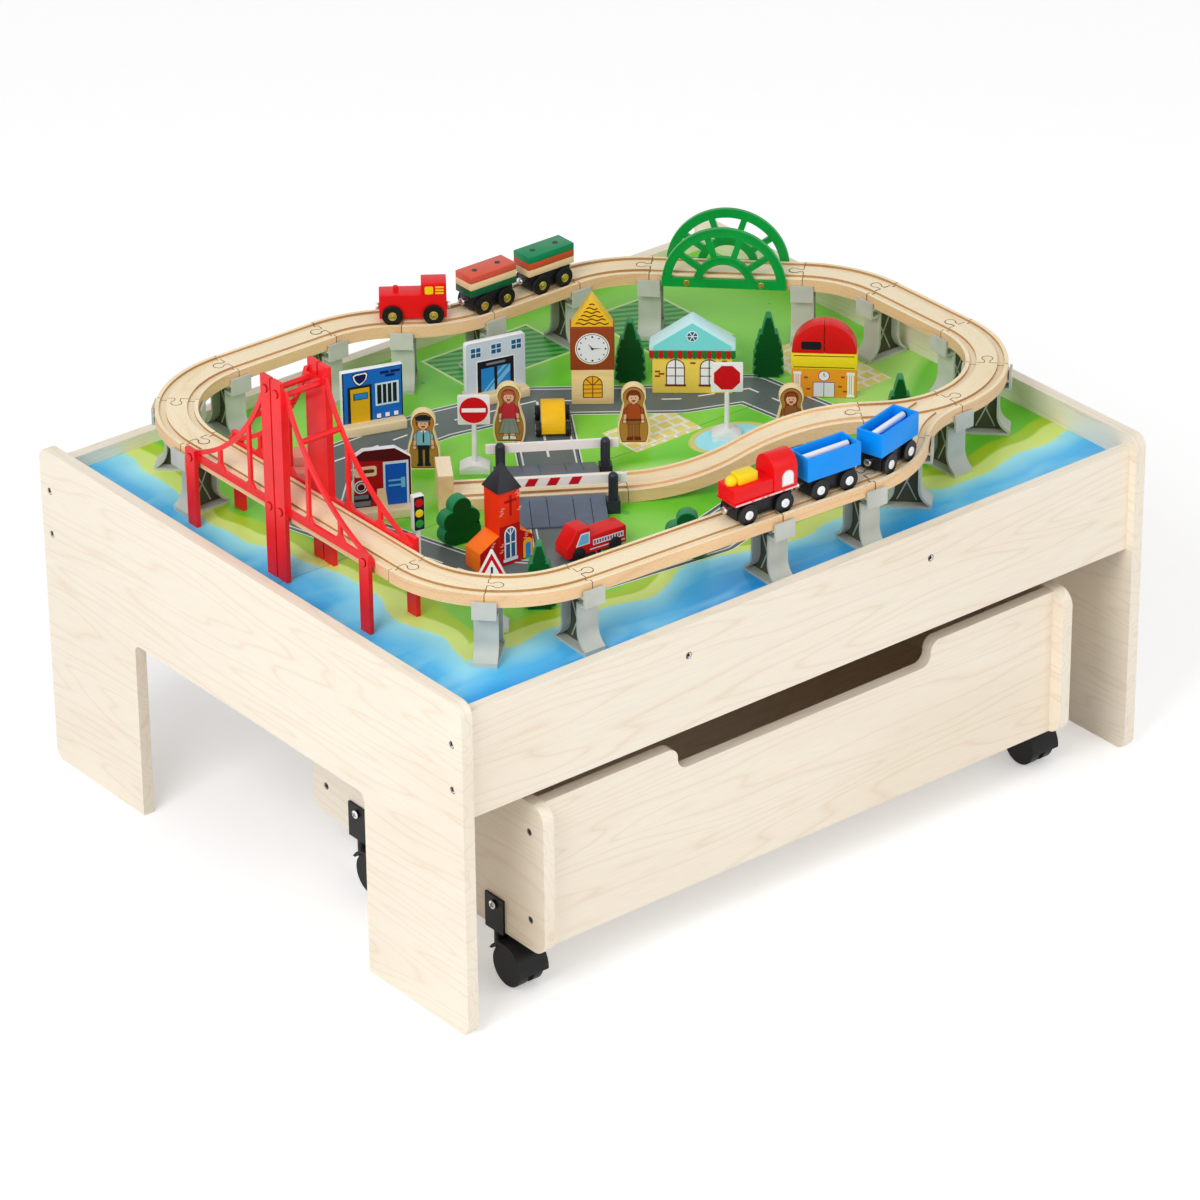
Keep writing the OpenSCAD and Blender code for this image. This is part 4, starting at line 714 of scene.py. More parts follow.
office = panel_house(60.5, [(60.5, 63.5), (0, 63.5)], wall_blue)
prints(office, PANEL_FACE,
       (line_black, 2, (0.6, 9, 1.8, 62.9), (58.8, 9, 60, 62.9), (5.6, 9.4, 29.5, 47.6)),
       (door_yellow, 3, (8.4, 9.4, 27.2, 45.1)), (navy, 4, (11.2, 33.4, 25.4, 40.2)),
       (glass_blue, 5, (12.2, 34.2, 24.6, 39.6)), (glass_pale, 2, (33, 23.9, 56.2, 47.2)),
       (line_black, 3, *((a, 25.8, b, 45.4) for a, b in ((34.8, 39), (40.4, 43.8), (45.3, 48.8), (50.3, 54)))),
       (navy, 2, (37.9, 56.2, 46.8, 58.9), (48.4, 56.2, 57.7, 58.9), (43.1, 52.6, 52.5, 55.3)),
       (line_white, 2, *((x, 11.2, x + 4, 15.4) for x in (34, 42.4, 51))),
       (line_black, 2, *((x, 9.4, x + 4, 11.2) for x in (34, 42.4, 51))))
for rim, paint, level in ((-1.0, navy, 2), (0, line_white, 3), (1.3, navy, 4)):
    badge = [(17.6, 48 + rim * 1.3), (21.4, 50.4 + rim), (24.6 - rim, 54), (25.6 - rim, 58.6 - rim * 0.4),
             (24 - rim, 60.6 - rim), (13.4 + rim, 60.2 - rim), (11.2 + rim, 58.6 - rim * 0.4), (11.9 + rim, 54.6),
             (14.2 + rim * 0.6, 50.6 + rim)]
    prints(office, PANEL_FACE, (paint, level, badge))
put(office, "blue_panel_house", (-141.7, 194.2, -18), "house_paint", "panel_houses")

hall = panel_house(62, arc(59, 60.3, 3, 0, 90, 6) + arc(3, 60.3, 3, 90, 180, 6), wall_pale)
for x, z in ((5.7, 47.6), (26.8, 48), (47.6, 48.6)):
    panes = [(x + dx, z + dz, x + dx + 4.4, z + dz + 4.2) for dx in (0, 5.4) for dz in (0, 5.2)]
    prints(hall, PANEL_FACE, (glass_pale, 2, (x - 0.9, z - 0.9, x + 10.7, z + 10.3)), (pane_dark, 3, *panes))
prints(hall, PANEL_FACE,
       (line_white, 2, (10.9, 9.4, 50.7, 43)), (line_black, 3, (12, 9.4, 49.6, 42)),
       (glass_blue, 4, (15.8, 9.6, 29.3, 34.2), (32.3, 9.6, 45.8, 34.2)),
       (glass_light, 5, [(17.2, 9.6), (19.4, 9.6), (29.3, 20.2), (29.3, 22.6)],
        [(22, 9.6), (29.3, 9.6), (29.3, 17.4)], [(32.3, 24.6), (32.3, 27.6), (39, 34.2), (42.4, 34.2)],
        [(32.3, 14.4), (32.3, 20.4), (45.8, 33.8), (45.8, 27.6)]),
       (stripe_grey, 4, soft_square(21, 37, 41, 39.4, 1)))
put(hall, "pale_panel_house", (-14.4, 169.4, -13.8), "house_paint", "panel_houses")

garage = panel_house(54.5, [(54.5, 57.2), (40, 67.6), (10.2, 67.6), (1.6, 62)], wall_maroon)
prints(garage, PANEL_FACE,
       (wall_shadow, 2, [(53.8, 53), (53.8, 56.6), (39.8, 66.8), (10.4, 66.8), (2.4, 61.4), (2.4, 58)],
        (52.6, 9.4, 53.8, 53)),
       (glass_pale, 3, (28.3, 9.4, 51.8, 54)), (door_blue, 4, (30.3, 9.4, 49.8, 51.4)),
       (glass_light, 5, (33, 28.8, 44.8, 30.5), (33, 33.8, 44.8, 35.5)), (glass_light, 6, (44.6, 26.8, 48.4, 37)),
       (plaque_cream, 3, soft_square(1.7, 41, 22.4, 51.4, 2.6)),
       (line_brown, 4, soft_square(9.6, 44.6, 20.2, 48.2, 1.6)),
       (line_white, 3, disc(7.6, 31, 6.6)), (line_black, 4, disc(7.6, 31, 5.4)),
       (line_white, 5, disc(7.6, 31, 4.2)), (wall_shadow, 6, disc(7.6, 31, 3.3)),
       (line_black, 2, (0.7, 10, 17, 23.8)), (stripe_grey, 3, (0.7, 18.8, 14.2, 22.9), (0.7, 11.2, 16.2, 16.2)),
       (plaque_cream, 5, [(22.2, 17), (26, 9.6), (32, 9.6), (30, 27.6), (22.2, 27.4)]))
put(garage, "dark_red_panel_house", (-235.4, 52.5, -26), "house_paint", "panel_houses")


# Block houses: a clock tower, a gabled shop, a domed station and a church, sawn from thick wood.
# Each is painted and printed on its front; the sawn sides stay in the wall's colour.
def arched(x0, z0, x1, z1):
    r = (x1 - x0) / 2
    return [(x0, z0), (x1, z0)] + arc((x0 + x1) / 2, z1 - r, r, 0, 180, 16)


natural = raw_wood("natural_block", ink(244, 214, 156), ink(226, 184, 118), 38)
roof_yellow, brick_brown, dial_white, pane_amber = mix(
    roof_yellow=(250, 200, 40), brick_brown=(150, 66, 30), dial_white=(232, 232, 240, 0.96, 0.1),
    pane_amber=(248, 178, 36, 0.92))
FACING = -38.6
clock = new_toy()
block(clock, (0, 0, 0), (40, 18, 36.5), natural, 0.8)
block(clock, (-1, -1, 36.5), (41, 19, 81), brick_brown, 1.0, 3)
plate(clock, [(0, 81), (40, 81), (20, 111)], 0, 18, roof_yellow, 0.8)
struts = [[(20, 20.6), (20 + way * 0.9, 20.6), (20 + way * 6.6, 26.6), (20 + way * 6.0, 27.2)] for way in (-1, 1)]
prints(clock, 0, (line_brown, 1, arched(10.6, 7, 29.4, 30)), (pane_amber, 2, arched(11.5, 7.8, 28.5, 29.1)),
       (line_brown, 3, (19.6, 7.8, 20.4, 29), *((11.5, z, 28.5, z + 0.7) for z in (11.8, 16, 20.4))),
       (line_brown, 4, *struts))
hours = [disc(x, z, 1.0 if k % 3 == 0 else 0.75, 10) for k, (x, z) in enumerate(disc(20, 59, 12.4, 12))]
hands = []
for turn, long, wide in ((-38, 6.2, 0.75), (88, 8.6, 0.6)):
    x, z = math.sin(math.radians(turn)), math.cos(math.radians(turn))
    hands.append([(20 - wide * z, 59 + wide * x), (20 + wide * z, 59 - wide * x), (20 + long * x, 59 + long * z)])
prints(clock, -1, (line_white, 1, disc(20, 59, 16.2, 48)), (line_brown, 2, disc(20, 59, 15.2, 48)),
       (dial_white, 3, disc(20, 59, 14.6, 48)), (line_black, 4, *hours), (line_black, 5, *hands),
       (line_black, 6, disc(20, 59, 1.2, 16)))
for k in range(6):
    z, half = 84 + k * 3.9, 15.6 - k * 2.6
    wave = [(20 - half + 2 * half * i / 24, z + 0.9 * math.sin(i / 24 * half * 1.25)) for i in range(25)]
    prints(clock, 0, (line_brown, 1, wave + [(x, y + 1.3) for x, y in reversed(wave)]))
put(clock, "clock_tower", (64, 111, FACING), "house_paint", "block_houses")

wall_yellow, gable_pale, gable_cyan, awning_red, awning_green = mix(
    wall_yellow=(248, 216, 92, 0.93), gable_pale=(206, 244, 248, 0.95), gable_cyan=(128, 226, 232, 0.93),
    awning_red=(196, 24, 30), awning_green=(22, 122, 48))
shop = new_toy()
block(shop, (0, 0, 0), (76, 18, 45), wall_yellow, 0.8)
plate(shop, [(-3, 45), (79, 45), (79, 50), (38, 77.5), (-3, 50)], -1, 19, gable_pale, 0.9)
vent_bars = []
for turn in (0, 60, 120):
    x, z = 4.8 * math.cos(math.radians(turn)), 4.8 * math.sin(math.radians(turn))
    vent_bars.append([(38 + a * x + b * z * 0.08, 60.5 + a * z - b * x * 0.08)
                      for a, b in ((-1, -1), (-1, 1), (1, 1), (1, -1))])
prints(shop, -1, (gable_cyan, 1, [(1, 46), (75, 46), (75, 50), (38, 74.4), (1, 50)]),
       (line_white, 2, disc(38, 60.5, 5.6)), (pane_dark, 3, disc(38, 60.5, 4.8)), (line_white, 4, *vent_bars))
SCALLOPS = 18
r = 82 / SCALLOPS / 2
for k in range(SCALLOPS):
    x = -3 + 2 * r * k
    plate(shop, [(x, 45.4)] + arc(x + r, 39.6, r, 180, 360, 10) + [(x + 2 * r, 45.4)], -2.2, 0.2,
          awning_green if k % 2 else awning_red, 0.25, 1)
for x in (13, 45):
    prints(shop, 0, (line_brown, 1, arched(x, 9, x + 18, 36)), (line_white, 2, arched(x + 1, 9.6, x + 17, 35)),
           (line_brown, 3, (x + 8.5, 9.6, x + 9.5, 35), *((x + 1, z, x + 17, z + 0.9) for z in (18, 26.5))),
           (line_brown, 4, (x - 1, 7.6, x + 19, 9.4)))
for x, z, wide in ((2.5, 22, 5), (2.5, 17, 5), (6, 19.5, 5.5), (36, 31, 5), (68, 14, 5), (66, 33, 5)):
    prints(shop, 0, (brick_brown, 1, (x, z, x + wide, z + 1.9)))
put(shop, "gabled_shop", (138, 81, -40.7), "house_paint", "block_houses")

wall_orange, band_yellow, dome_red = mix(
    wall_orange=(246, 158, 40), band_yellow=(252, 224, 40), dome_red=(226, 20, 22))
station = new_toy()
block(station, (0, 0, 0), (61.6, 18, 29.5), wall_orange, 0.8)
block(station, (-0.5, -0.5, 29.5), (62.1, 18.5, 46), band_yellow, 0.6)
for start, x in ((0, 31.1), (90, 30.5)):
    plate(station, [(x, 46)] + arc(x, 46, 30.5, start, start + 90, 24), 0, 18, dome_red, 0.9)
for x0, x1 in ((2.5, 8.5), (53.1, 59.1)):
    prints(station, 0, (line_white, 1, (x0, 1.5, x1, 27)),
           (wall_orange, 2, *((x0 + k, 4, x0 + k + 0.7, 24) for k in (1.6, 3.6))),
           (line_white, 3, (x0 - 0.8, 24, x1 + 0.8, 27), (x0 - 0.8, 1, x1 + 0.8, 3)))
bricks = [(x, z, x + 3.4, z + 1.7) for x, z in ((12, 20), (14.5, 8), (47, 21), (44.5, 11), (49, 6))]
prints(station, 0, (line_brown, 1, (20.4, 1.2, 41.2, 16.4), disc(30.8, 22.8, 5.4)),
       (dial_white, 2, (21, 1.2, 30.5, 15.8), (31.1, 1.2, 40.6, 15.8)), (line_white, 2, disc(30.8, 22.8, 4.8)),
       (line_black, 3, (30.4, 22.8, 31.2, 26), [(30.8, 22.4), (30.8, 23.2), (33.4, 22.6)]),
       (brick_brown, 1, *bricks), (line_black, 1, soft_square(9, 50, 28, 58.4, 1.6)))
prints(station, -0.5, (line_brown, 1, (2, 31.5, 59.6, 32.3), (2, 43.4, 59.6, 44.2)))
put(station, "domed_station", (234.4, -9.2, -43.3), "house_paint", "block_houses")


def rod(toy, middle, r, long, paint, edge=0.4, count=24, turn=0, axis="Z", top=None):
    """a round part about its middle, turned from upright about an axis; top is a cone's upper radius"""
    part = bmesh.new()
    bmesh.ops.create_cone(part, cap_ends=True, segments=count, radius1=r, radius2=r if top is None else top,
                          depth=long, matrix=Matrix.Translation(middle) @ Matrix.Rotation(math.radians(turn), 4, axis))
    fix(toy, part, paint, edge)


church_red, church_side, church_dark, brick_pink, spire_black = mix(
    church_red=(244, 50, 6), church_side=(255, 120, 18), church_dark=(190, 10, 8),
    brick_pink=(246, 150, 132, 0.95, 0.1), spire_black=(38, 40, 46))
TOWER_FACE = -0.4
church = new_toy()
plate(church, [(0, 0), (58.4, 0), (58.4, 23), (44.4, 32), (21.4, 32), (0, 20)], 0, 23, church_side, 0.8)
block(church, (21.4, TOWER_FACE, 0), (44.4, 23.2, 74), church_red, 0.8)
rod(church, (32.9, 11.5, 86), 18.7, 24, spire_black, 0.5, 4, 45, top=0.6)
prints(church, 0, (church_dark, 1, [(0.6, 0.6), (57.8, 0.6), (57.8, 22.6), (44.4, 31.2), (21.4, 31.2), (0.6, 19.6)]),
       (pane_amber, 2, arched(47.4, 0.8, 57.4, 21)), (glass_blue, 3, arched(49.8, 0.8, 55.4, 16.4)),
       (line_brown, 2, (0.6, 0.6, 57.8, 1.6)))
struts = [[(33.2, 30), (33.2 + way * 0.9, 30), (33.2 + way * 4.2, 34.6), (33.2 + way * 3.4, 35.2)] for way in (-1, 1)]
prints(church, TOWER_FACE, (church_dark, 1, (22, 0.6, 43.8, 40)), (line_white, 2, arched(26.8, 7, 39.6, 38)),
       (glass_pale, 3, (25.4, 3.6, 41, 6.6)), (pane_dark, 3, arched(28.2, 7.4, 38.2, 36.6)),
       (line_white, 4, (32.6, 7.4, 33.8, 36), (28.2, 21.4, 38.2, 22.6), *struts),
       (church_dark, 2, (32.9, 49, 35.2, 69.4), (27.6, 62.6, 40.4, 65)))
for face, corners in ((0, ((10.6, 20), (12.6, 23.4), (48, 21), (49.4, 25))),
                      (TOWER_FACE, ((21.8, 14), (22.4, 20), (40.4, 66), (39.4, 69.4), (21.8, 51), (22.6, 55.4),
                                    (41.4, 52)))):
    for x, z in [(x + dx, z + dz) for x, z in corners for dx, dz in ((0, 0), (1.6, 1.9))]:
        prints(church, face, (brick_pink, 2, (x, z, x + 3.2, z + 1.2)))
put(church, "church", (-211, -102, -3), "house_paint", "block_houses")


# Trees: four tiered pines and two round-headed trees, cut from thick boards with a fret saw.
# The faces are painted dark green and the sawn edges a lighter green.
leaf_dark, leaf_edge = mix(leaf_dark=(2, 84, 30, 0.75, 0.5), leaf_edge=(34, 140, 84, 0.8, 0.5))
TREE_HALF = 6


def fret_tree(outline, name, pose):
    toy = new_toy()
    plate(toy, outline, -TREE_HALF, TREE_HALF, leaf_edge, 0.8, 3)
    middle_x, middle_z = (sum(p[k] for p in outline) / len(outline) for k in (0, 1))
    inner = [(middle_x + (x - middle_x) * 0.94, middle_z + (z - middle_z) * 0.965) for x, z in outline]
    for face in (-TREE_HALF, TREE_HALF - 0.02):
        plate(toy, inner, face - 0.14, face + 0.16, leaf_dark, 0)
    put(toy, name, pose, "tree_green", "trees")


PINE_TIERS = 6
branches = [(10.5, 0), (10.5, 2.5)]
for k in range(PINE_TIERS):
    wide, low = 15 * (1 - (k / PINE_TIERS) ** 3), 4 + k * 61 / 7
    branches += [(wide - 1.2, low - 0.6), (wide, low + 1.2), (wide - 0.6, low + 3.0), (wide * 0.9 - 0.6, low + 6.6),
                 (wide * 0.88 - 0.9, low + 7.8)]
branches += [(3.4, 60.5), (2.2, 64.4)]
pine = branches + [(-x, z) for x, z in reversed(branches)]
for n, (x, y) in enumerate([(139, 115.5), (247.5, 40), (256, -139), (-207.3, -183.7)], 1):
    fret_tree(pine, f"pine_{n}", (x, y, FACING))
crown = ([(-8, 0), (8, 0), (10, 1.2)] + arc(10, 11, 10, -70, 60, 8) + arc(9, 24, 10, -40, 65, 8)
         + arc(0, 37, 10, -12, 192, 12) + arc(-10, 25, 10, 115, 222, 8) + arc(-10, 11, 10, 120, 250, 8)
         + [(-10, 1.2)])
fret_tree(crown, "round_tree_1", (-187, -40.5, -7))
fret_tree(crown, "round_tree_2", (-46.6, -193.8, FACING))


# Road signs: white moulded feet and posts with plain sign plates, and a small traffic light.
# The plates carry bare shapes: an octagon, a disc with a bar, a triangle and three lights.
sign_white = moulded("sign_white", ink(244, 244, 243), 0.28, 0.06)
sign_red, light_yellow, light_green = mix(
    sign_red=(206, 10, 24, 0.92, 0.1), light_yellow=(246, 210, 30, 0.92, 0.1), light_green=(46, 150, 60, 0.92, 0.1))
FOOT_TOP = 7


def sign(post_top, outline, half, edge):
    """a foot, a post and a blank plate"""
    toy = new_toy()
    plate(toy, [(-14, 0), (14, 0), (14, 3.5)] + arc(0, -12.2, 21, 48, 132, 14) + [(-14, 3.5)], -10, 10, sign_white,
          1.2, 3)
    rod(toy, (0, 0, (post_top + FOOT_TOP) / 2), 2.6, post_top - FOOT_TOP, sign_white, 0, 20, top=2.2)
    plate(toy, outline, -half, half, sign_white, edge)
    return toy


SIGN_HALF, LIGHT_HALF = 1.5, 3.5
octagon = sign(47, soft_square(-15, 47, 15, 77, 1.6), SIGN_HALF, 0.5)
prints(octagon, -SIGN_HALF, (sign_red, 1, arc(0, 62, 13.2, 22.5, 337.5, 7)))
put(octagon, "sign_1", (133.7, -34.2, FACING), "sign_white", "road_signs")
round_sign = sign(47, soft_square(-15, 47, 15, 77, 1.6), SIGN_HALF, 0.5)
prints(round_sign, -SIGN_HALF, (sign_red, 1, arc(0, 62, 13.2, 4.5, 355.5, 39)), (line_white, 2, (-11, 60, 11, 64)))
put(round_sign, "sign_2", (-88.8, 63.3, FACING), "sign_white", "road_signs")
triangle = sign(47, [(-15, 47), (15, 47), (1, 77), (-1, 77)], SIGN_HALF, 0.5)
prints(triangle, -SIGN_HALF, (sign_red, 1, [(-12.8, 48.4), (12.8, 48.4), (0, 74.2)]),
       (line_white, 2, [(-8, 51.4), (8, 51.4), (0, 67.6)]), (line_black, 3, (-0.9, 53, 0.9, 61)))
put(triangle, "sign_3", (-262.3, -186.8, FACING), "sign_white", "road_signs")
lights = sign(43, soft_square(-5.5, 42, 5.5, 77, 1.2), LIGHT_HALF, 0.6)
prints(lights, -LIGHT_HALF, (line_black, 1, soft_square(-4.9, 43, 4.9, 76.2, 1.2)))
for z, paint in ((70, sign_red), (59.7, light_yellow), (49.4, light_green)):
    plate(lights, disc(0, z, 3.9), -LIGHT_HALF - 0.7, -LIGHT_HALF + 0.1, paint, 0.25)
put(lights, "traffic_light", (-248.8, -61.8, -12), "sign_white", "road_signs")


# Figures: four people cut from thick pale wood as flat rounded shapes.
# A brown field is printed inside the outline, with a plain doll on it.
figure_wood = raw_wood("figure_wood", ink(246, 224, 172), ink(228, 194, 132), 38)
field_brown, skin_tone, shirt_blue, shirt_red, shirt_rust, skirt_grey, trouser_brown, hair_brown, hair_red = mix(
    field_brown=(180, 126, 58, 0.9), skin_tone=(236, 184, 148, 0.95, 0.1), shirt_blue=(126, 186, 206),
    shirt_red=(204, 48, 62), shirt_rust=(176, 74, 34), skirt_grey=(146, 154, 150), trouser_brown=(150, 96, 46),
    hair_brown=(128, 58, 26), hair_red=(198, 92, 74))
HIP = arc(-22, 14, 37.2, -22, 22, 8)
FIGURE = ([(-13, 0), (13, 0)] + HIP + [(11.2, 34), (9.6, 40)] + arc(0, 48.5, 11.5, -28, 208, 20)
          + [(-9.6, 40), (-11.2, 34)] + [(-x, z) for x, z in reversed(HIP)])
FIGURE_HALF = 4.5
DARK_LINE = 0.45


def doll(name, x, y, hair, top, legs, shoes, cap=None, skirt=False):
    toy = new_toy()
    plate(toy, FIGURE, -FIGURE_HALF, FIGURE_HALF, figure_wood, 1.0, 3)
    for share, paint, level in ((0.89, line_brown, 0.5), (0.86, field_brown, 1)):
        field = [(x * share, 30 + (z - 30) * (share + 0.07)) for x, z in FIGURE]
        prints(toy, -FIGURE_HALF, (paint, level, field))
    rows = [(hair, 2, arc(0, 48.6, 6.4, -30, 210, 20)),
            (skin_tone, 3, disc(0, 46.6, 4.9, 24), rect(-1.6, 39.6, 1.6, 42.6)),
            (sign_red, 4, [(-1.5, 44.6), (1.5, 44.6), (0.9, 43.9), (-0.9, 43.9)]),
            (top, 4, [(-6.4, 24), (6.4, 24), (6.2, 36), (4.6, 40.4), (-4.6, 40.4), (-6.2, 36)])]
    for way in (-1, 1):
        arm = [(way * 5.6, 39), (way * 9.0, 34), (way * 9.6, 23.5), (way * 7.4, 23.5), (way * 6.2, 32)]
        rows += [(skin_tone, 2, arm), (skin_tone, 3, disc(way * 8.5, 22.8, 1.7, 12)),
                 (top, 3, [(way * 5.0, 40), (way * 9.2, 35), (way * 8.6, 30.5), (way * 6.0, 31.5)]),
                 (line_black, 4, disc(way * 1.8, 47.2, 0.55, 10)),
                 (skin_tone if skirt else legs, 2, rect(way * 1.0, 6, way * 5.2, 24)),
                 (shoes, 3, [(way * 0.8, 3.4), (way * 6.4, 3.4), (way * 6.0, 6.2), (way * 0.8, 7)])]
    if skirt:
        pleats = [[(x * 0.7, 24), (x * 0.7 + 0.5, 24), (x * 1.5 + 0.5, 11), (x * 1.5, 11)] for x in (-4.5, 0, 4.5)]
        rows += [(hair, 2, [(-4.6, 36), (4.6, 36), (5.4, 47), (-5.4, 47)]),
                 (legs, 5, [(-5.6, 25), (5.6, 25), (9.6, 10), (-9.6, 10)]), (stripe_grey, 6, *pleats)]
    else:
        rows += [(legs, 5, rect(-5.6, 20.5, 5.6, 24.6)), (shoes, 6, rect(-6.0, 24, 6.0, 25.2))]
    if cap:
        rows += [(cap, 5, [(-6.6, 50.2), (6.6, 50.2), (7.4, 54), (3, 56.2), (-3, 56.2), (-7.4, 54)]),
                 (stripe_grey, 6, [(-5.6, 49.2), (5.6, 49.2), (6.2, 50.6), (-6.2, 50.6)]),
                 (line_black, 5, rect(-0.7, 28, 0.7, 40)), (line_white, 5, [(-3, 40.4), (3, 40.4), (0, 36.5)])]
    else:
        rows.append((hair, 5, arc(0, 48.6, 5.6, 20, 160, 12)))
    # each coloured field has a thin dark line round it
    for paint, level, *outlines in rows:
        for outline in outlines:
            middle_x, middle_z = (sum(p[k] for p in outline) / len(outline) for k in (0, 1))
            grown = [(x + math.copysign(DARK_LINE, x - middle_x), z + math.copysign(DARK_LINE, z - middle_z))
                     for x, z in outline]
            if paint not in (line_black, stripe_grey):
                prints(toy, -FIGURE_HALF, (line_brown, level - 0.5, grown))
            prints(toy, -FIGURE_HALF, (paint, level, outline))
    put(toy, name, (x, y, FACING), "figure_wood", "figures")


doll("figure_officer", -121.8, 97.3, hair_brown, shirt_blue, line_black, line_black, cap=line_black)
doll("figure_skirt", -27.2, 90.2, hair_red, shirt_red, skirt_grey, line_white, skirt=True)
doll("figure_shorts", 61, 14.3, hair_brown, shirt_rust, trouser_brown, line_brown)
doll("figure_braids", 171.8, -81.5, brick_brown, trouser_brown, line_brown, brick_brown, skirt=True)


# Road vehicles: a yellow van with tall black wheels, a red fire truck and a small pink car.
# Painted wooden bodies with the windows printed on, on fixed wheels of dark plastic.
tyre_black = moulded("tyre_black", ink(30, 30, 32), 0.4)
van_yellow, truck_red, car_pink = mix(van_yellow=(250, 194, 24), truck_red=(226, 16, 16), car_pink=(236, 138, 128))


def across(toy, x, z, r, near, far, paint, edge=0.4, count=28):
    """a round part with its axis across the vehicle"""
    rod(toy, (x, (near + far) / 2, z), r, abs(far - near), paint, edge, count, 90, "X")


def side_prints(toy, half, *rows):
    """the same printed fields on both sides of a vehicle"""
    for hand in (-1, 1):
        prints(toy, hand * half, *rows, hand=hand)


def road_wheels(toy, base, half, cap):
    r = 6.5
    for x in (-base / 2, base / 2):
        for side in (-1, 1):
            across(toy, x, r, r, side * (half - 1.2), side * (half + 2), tyre_black, 0.6)
            across(toy, x, r, r * 0.42, side * (half + 1.6), side * (half + 2.3), cap, 0.2, 18)


VAN_HALF = 11.3
DOT_STEP = 1.2566  # a fifth of a turn between the white dots on a wheel
van = new_toy()
plate(van, [(-23.3, 4), (23.3, 4)] + arc(0, 4, 23.3, 0, 180, 36), -VAN_HALF, VAN_HALF, van_yellow, 0.7, 3)
for x in (-17.75, 17.75):
    across(van, x, 7, 1.6, -12, 12, tyre_black, 0, 12)
    for side in (-1, 1):
        across(van, x, 7, 7, side * 11.6, side * 16.5, tyre_black, 0.8)
        for turn in (k * DOT_STEP for k in range(5)):
            across(van, x + 4.2 * math.cos(turn), 7 + 4.2 * math.sin(turn), 0.8, side * 16.3, side * 16.8,
                   line_white, 0, 10)
side_prints(van, VAN_HALF, (glass_light, 1, arc(0, 8, 15, 20, 160, 20)), (van_yellow, 2, (-0.6, 13, 0.6, 23)))
put(van, "yellow_van", (20.7, 85.2, 53.5), "car_paint", "road_vehicles")

TRUCK_HALF = 10
truck = new_toy()
road_wheels(truck, 38.4, TRUCK_HALF, line_black)
plate(truck, [(-32, 4), (-7, 4), (-7, 30), (-21, 30), (-32, 14)], -TRUCK_HALF, TRUCK_HALF, truck_red, 0.9, 3)
block(truck, (-7.1, -TRUCK_HALF, 4), (32, TRUCK_HALF, 21), truck_red, 0.9, 3)
side_prints(truck, TRUCK_HALF, (line_white, 1, [(-22.4, 14), (-7.6, 14), (-7.6, 26), (-17, 26)]),
            (glass_light, 2, [(-20.6, 15), (-8.8, 15), (-8.8, 24.8), (-16.6, 24.8)]),
            (awning_red, 1, (-4.4, 11, 30, 16.6)), (glass_pale, 1, (-7.4, 7.2, 30, 8.2)),
            (glass_pale, 2, (-4.2, 11.2, 29, 12.2), (-4.2, 15.6, 29, 16.6)),
            (glass_pale, 3, *((-4.2 + k * 2.9, 11.2, -3.2 + k * 2.9, 16.4) for k in range(12))))
put(truck, "fire_truck", (-106.5, -130, -5.4), "car_paint", "road_vehicles")

small_car = new_toy()
road_wheels(small_car, 26.4, 8, line_white)
block(small_car, (-22, -9, 4), (22, 9, 17), car_pink, 1.4, 3)
block(small_car, (-10, -9, 16.5), (12, 9, 28), car_pink, 2.0, 3)
side_prints(small_car, 9,
            (glass_light, 1, soft_square(-7.5, 18.6, 0, 25.4, 1), soft_square(2, 18.6, 9.5, 25.4, 1)),
            (line_white, 1, (-20, 9, 20, 9.7), (-20, 12, 20, 12.7)))
put(small_car, "small_car", (-221, 150, 50), "car_paint", "road_vehicles")


# Drawer: two rounded sides, a front with a scooped handle, a back and a thin bottom, in the table's laminate.
# Black screws hold it together, and it rolls on its own casters under the table.
finish_solids(laminate_deep, 0.0014, "drawer_side_left", "drawer_side_right")
finish_solids(laminate_along, 0.0012, "drawer_front", "drawer_back", "drawer_bottom")
finish_solids(dark_steel, 0.0003, "drawer_screws")


# Casters: black enamelled angle brackets screwed to the drawer's sides, moulded hoods and twin wheels.
# Each bracket is held by a bright cross-head screw.
bracket_black = moulded("bracket_black", ink(24, 24, 26), 0.36)
caster_black = moulded("caster_black", ink(18, 18, 20), 0.42)
screw_bright = steel("screw_bright", ink(206, 206, 208), 0.22)
finish_solids(bracket_black, 0.0005, "caster_brackets")
for n in range(1, 5):
    finish_solids(caster_black, 0.0005, f"caster_hood_{n}", f"caster_wheels_{n}")
# each screw's cross recess is drawn as two black bars: painted shade in the slots
screws = new_toy()
for side in (-1, 1):
    for y in (-250, -47):
        head = new_toy()
        dome = bmesh.new()
        bmesh.ops.create_uvsphere(dome, u_segments=24, v_segments=10, radius=4.2,
                                  matrix=Matrix.Diagonal((0.3, 1, 1, 1)))
        fix(head, dome, screw_bright, 0)
        for turn in (20, 110):
            slab(head, Matrix.Translation((side * 0.9, 0, 0)) @ Matrix.Rotation(math.radians(turn), 4, "X"),
                 (0.9, 4.6, 0.9), line_black, 0.1, 1)
        join(screws, head, (side * 317.9, y, 0), 72.2)
hand_over(screws, "caster_screw_heads", "drawer", "bracket_black")


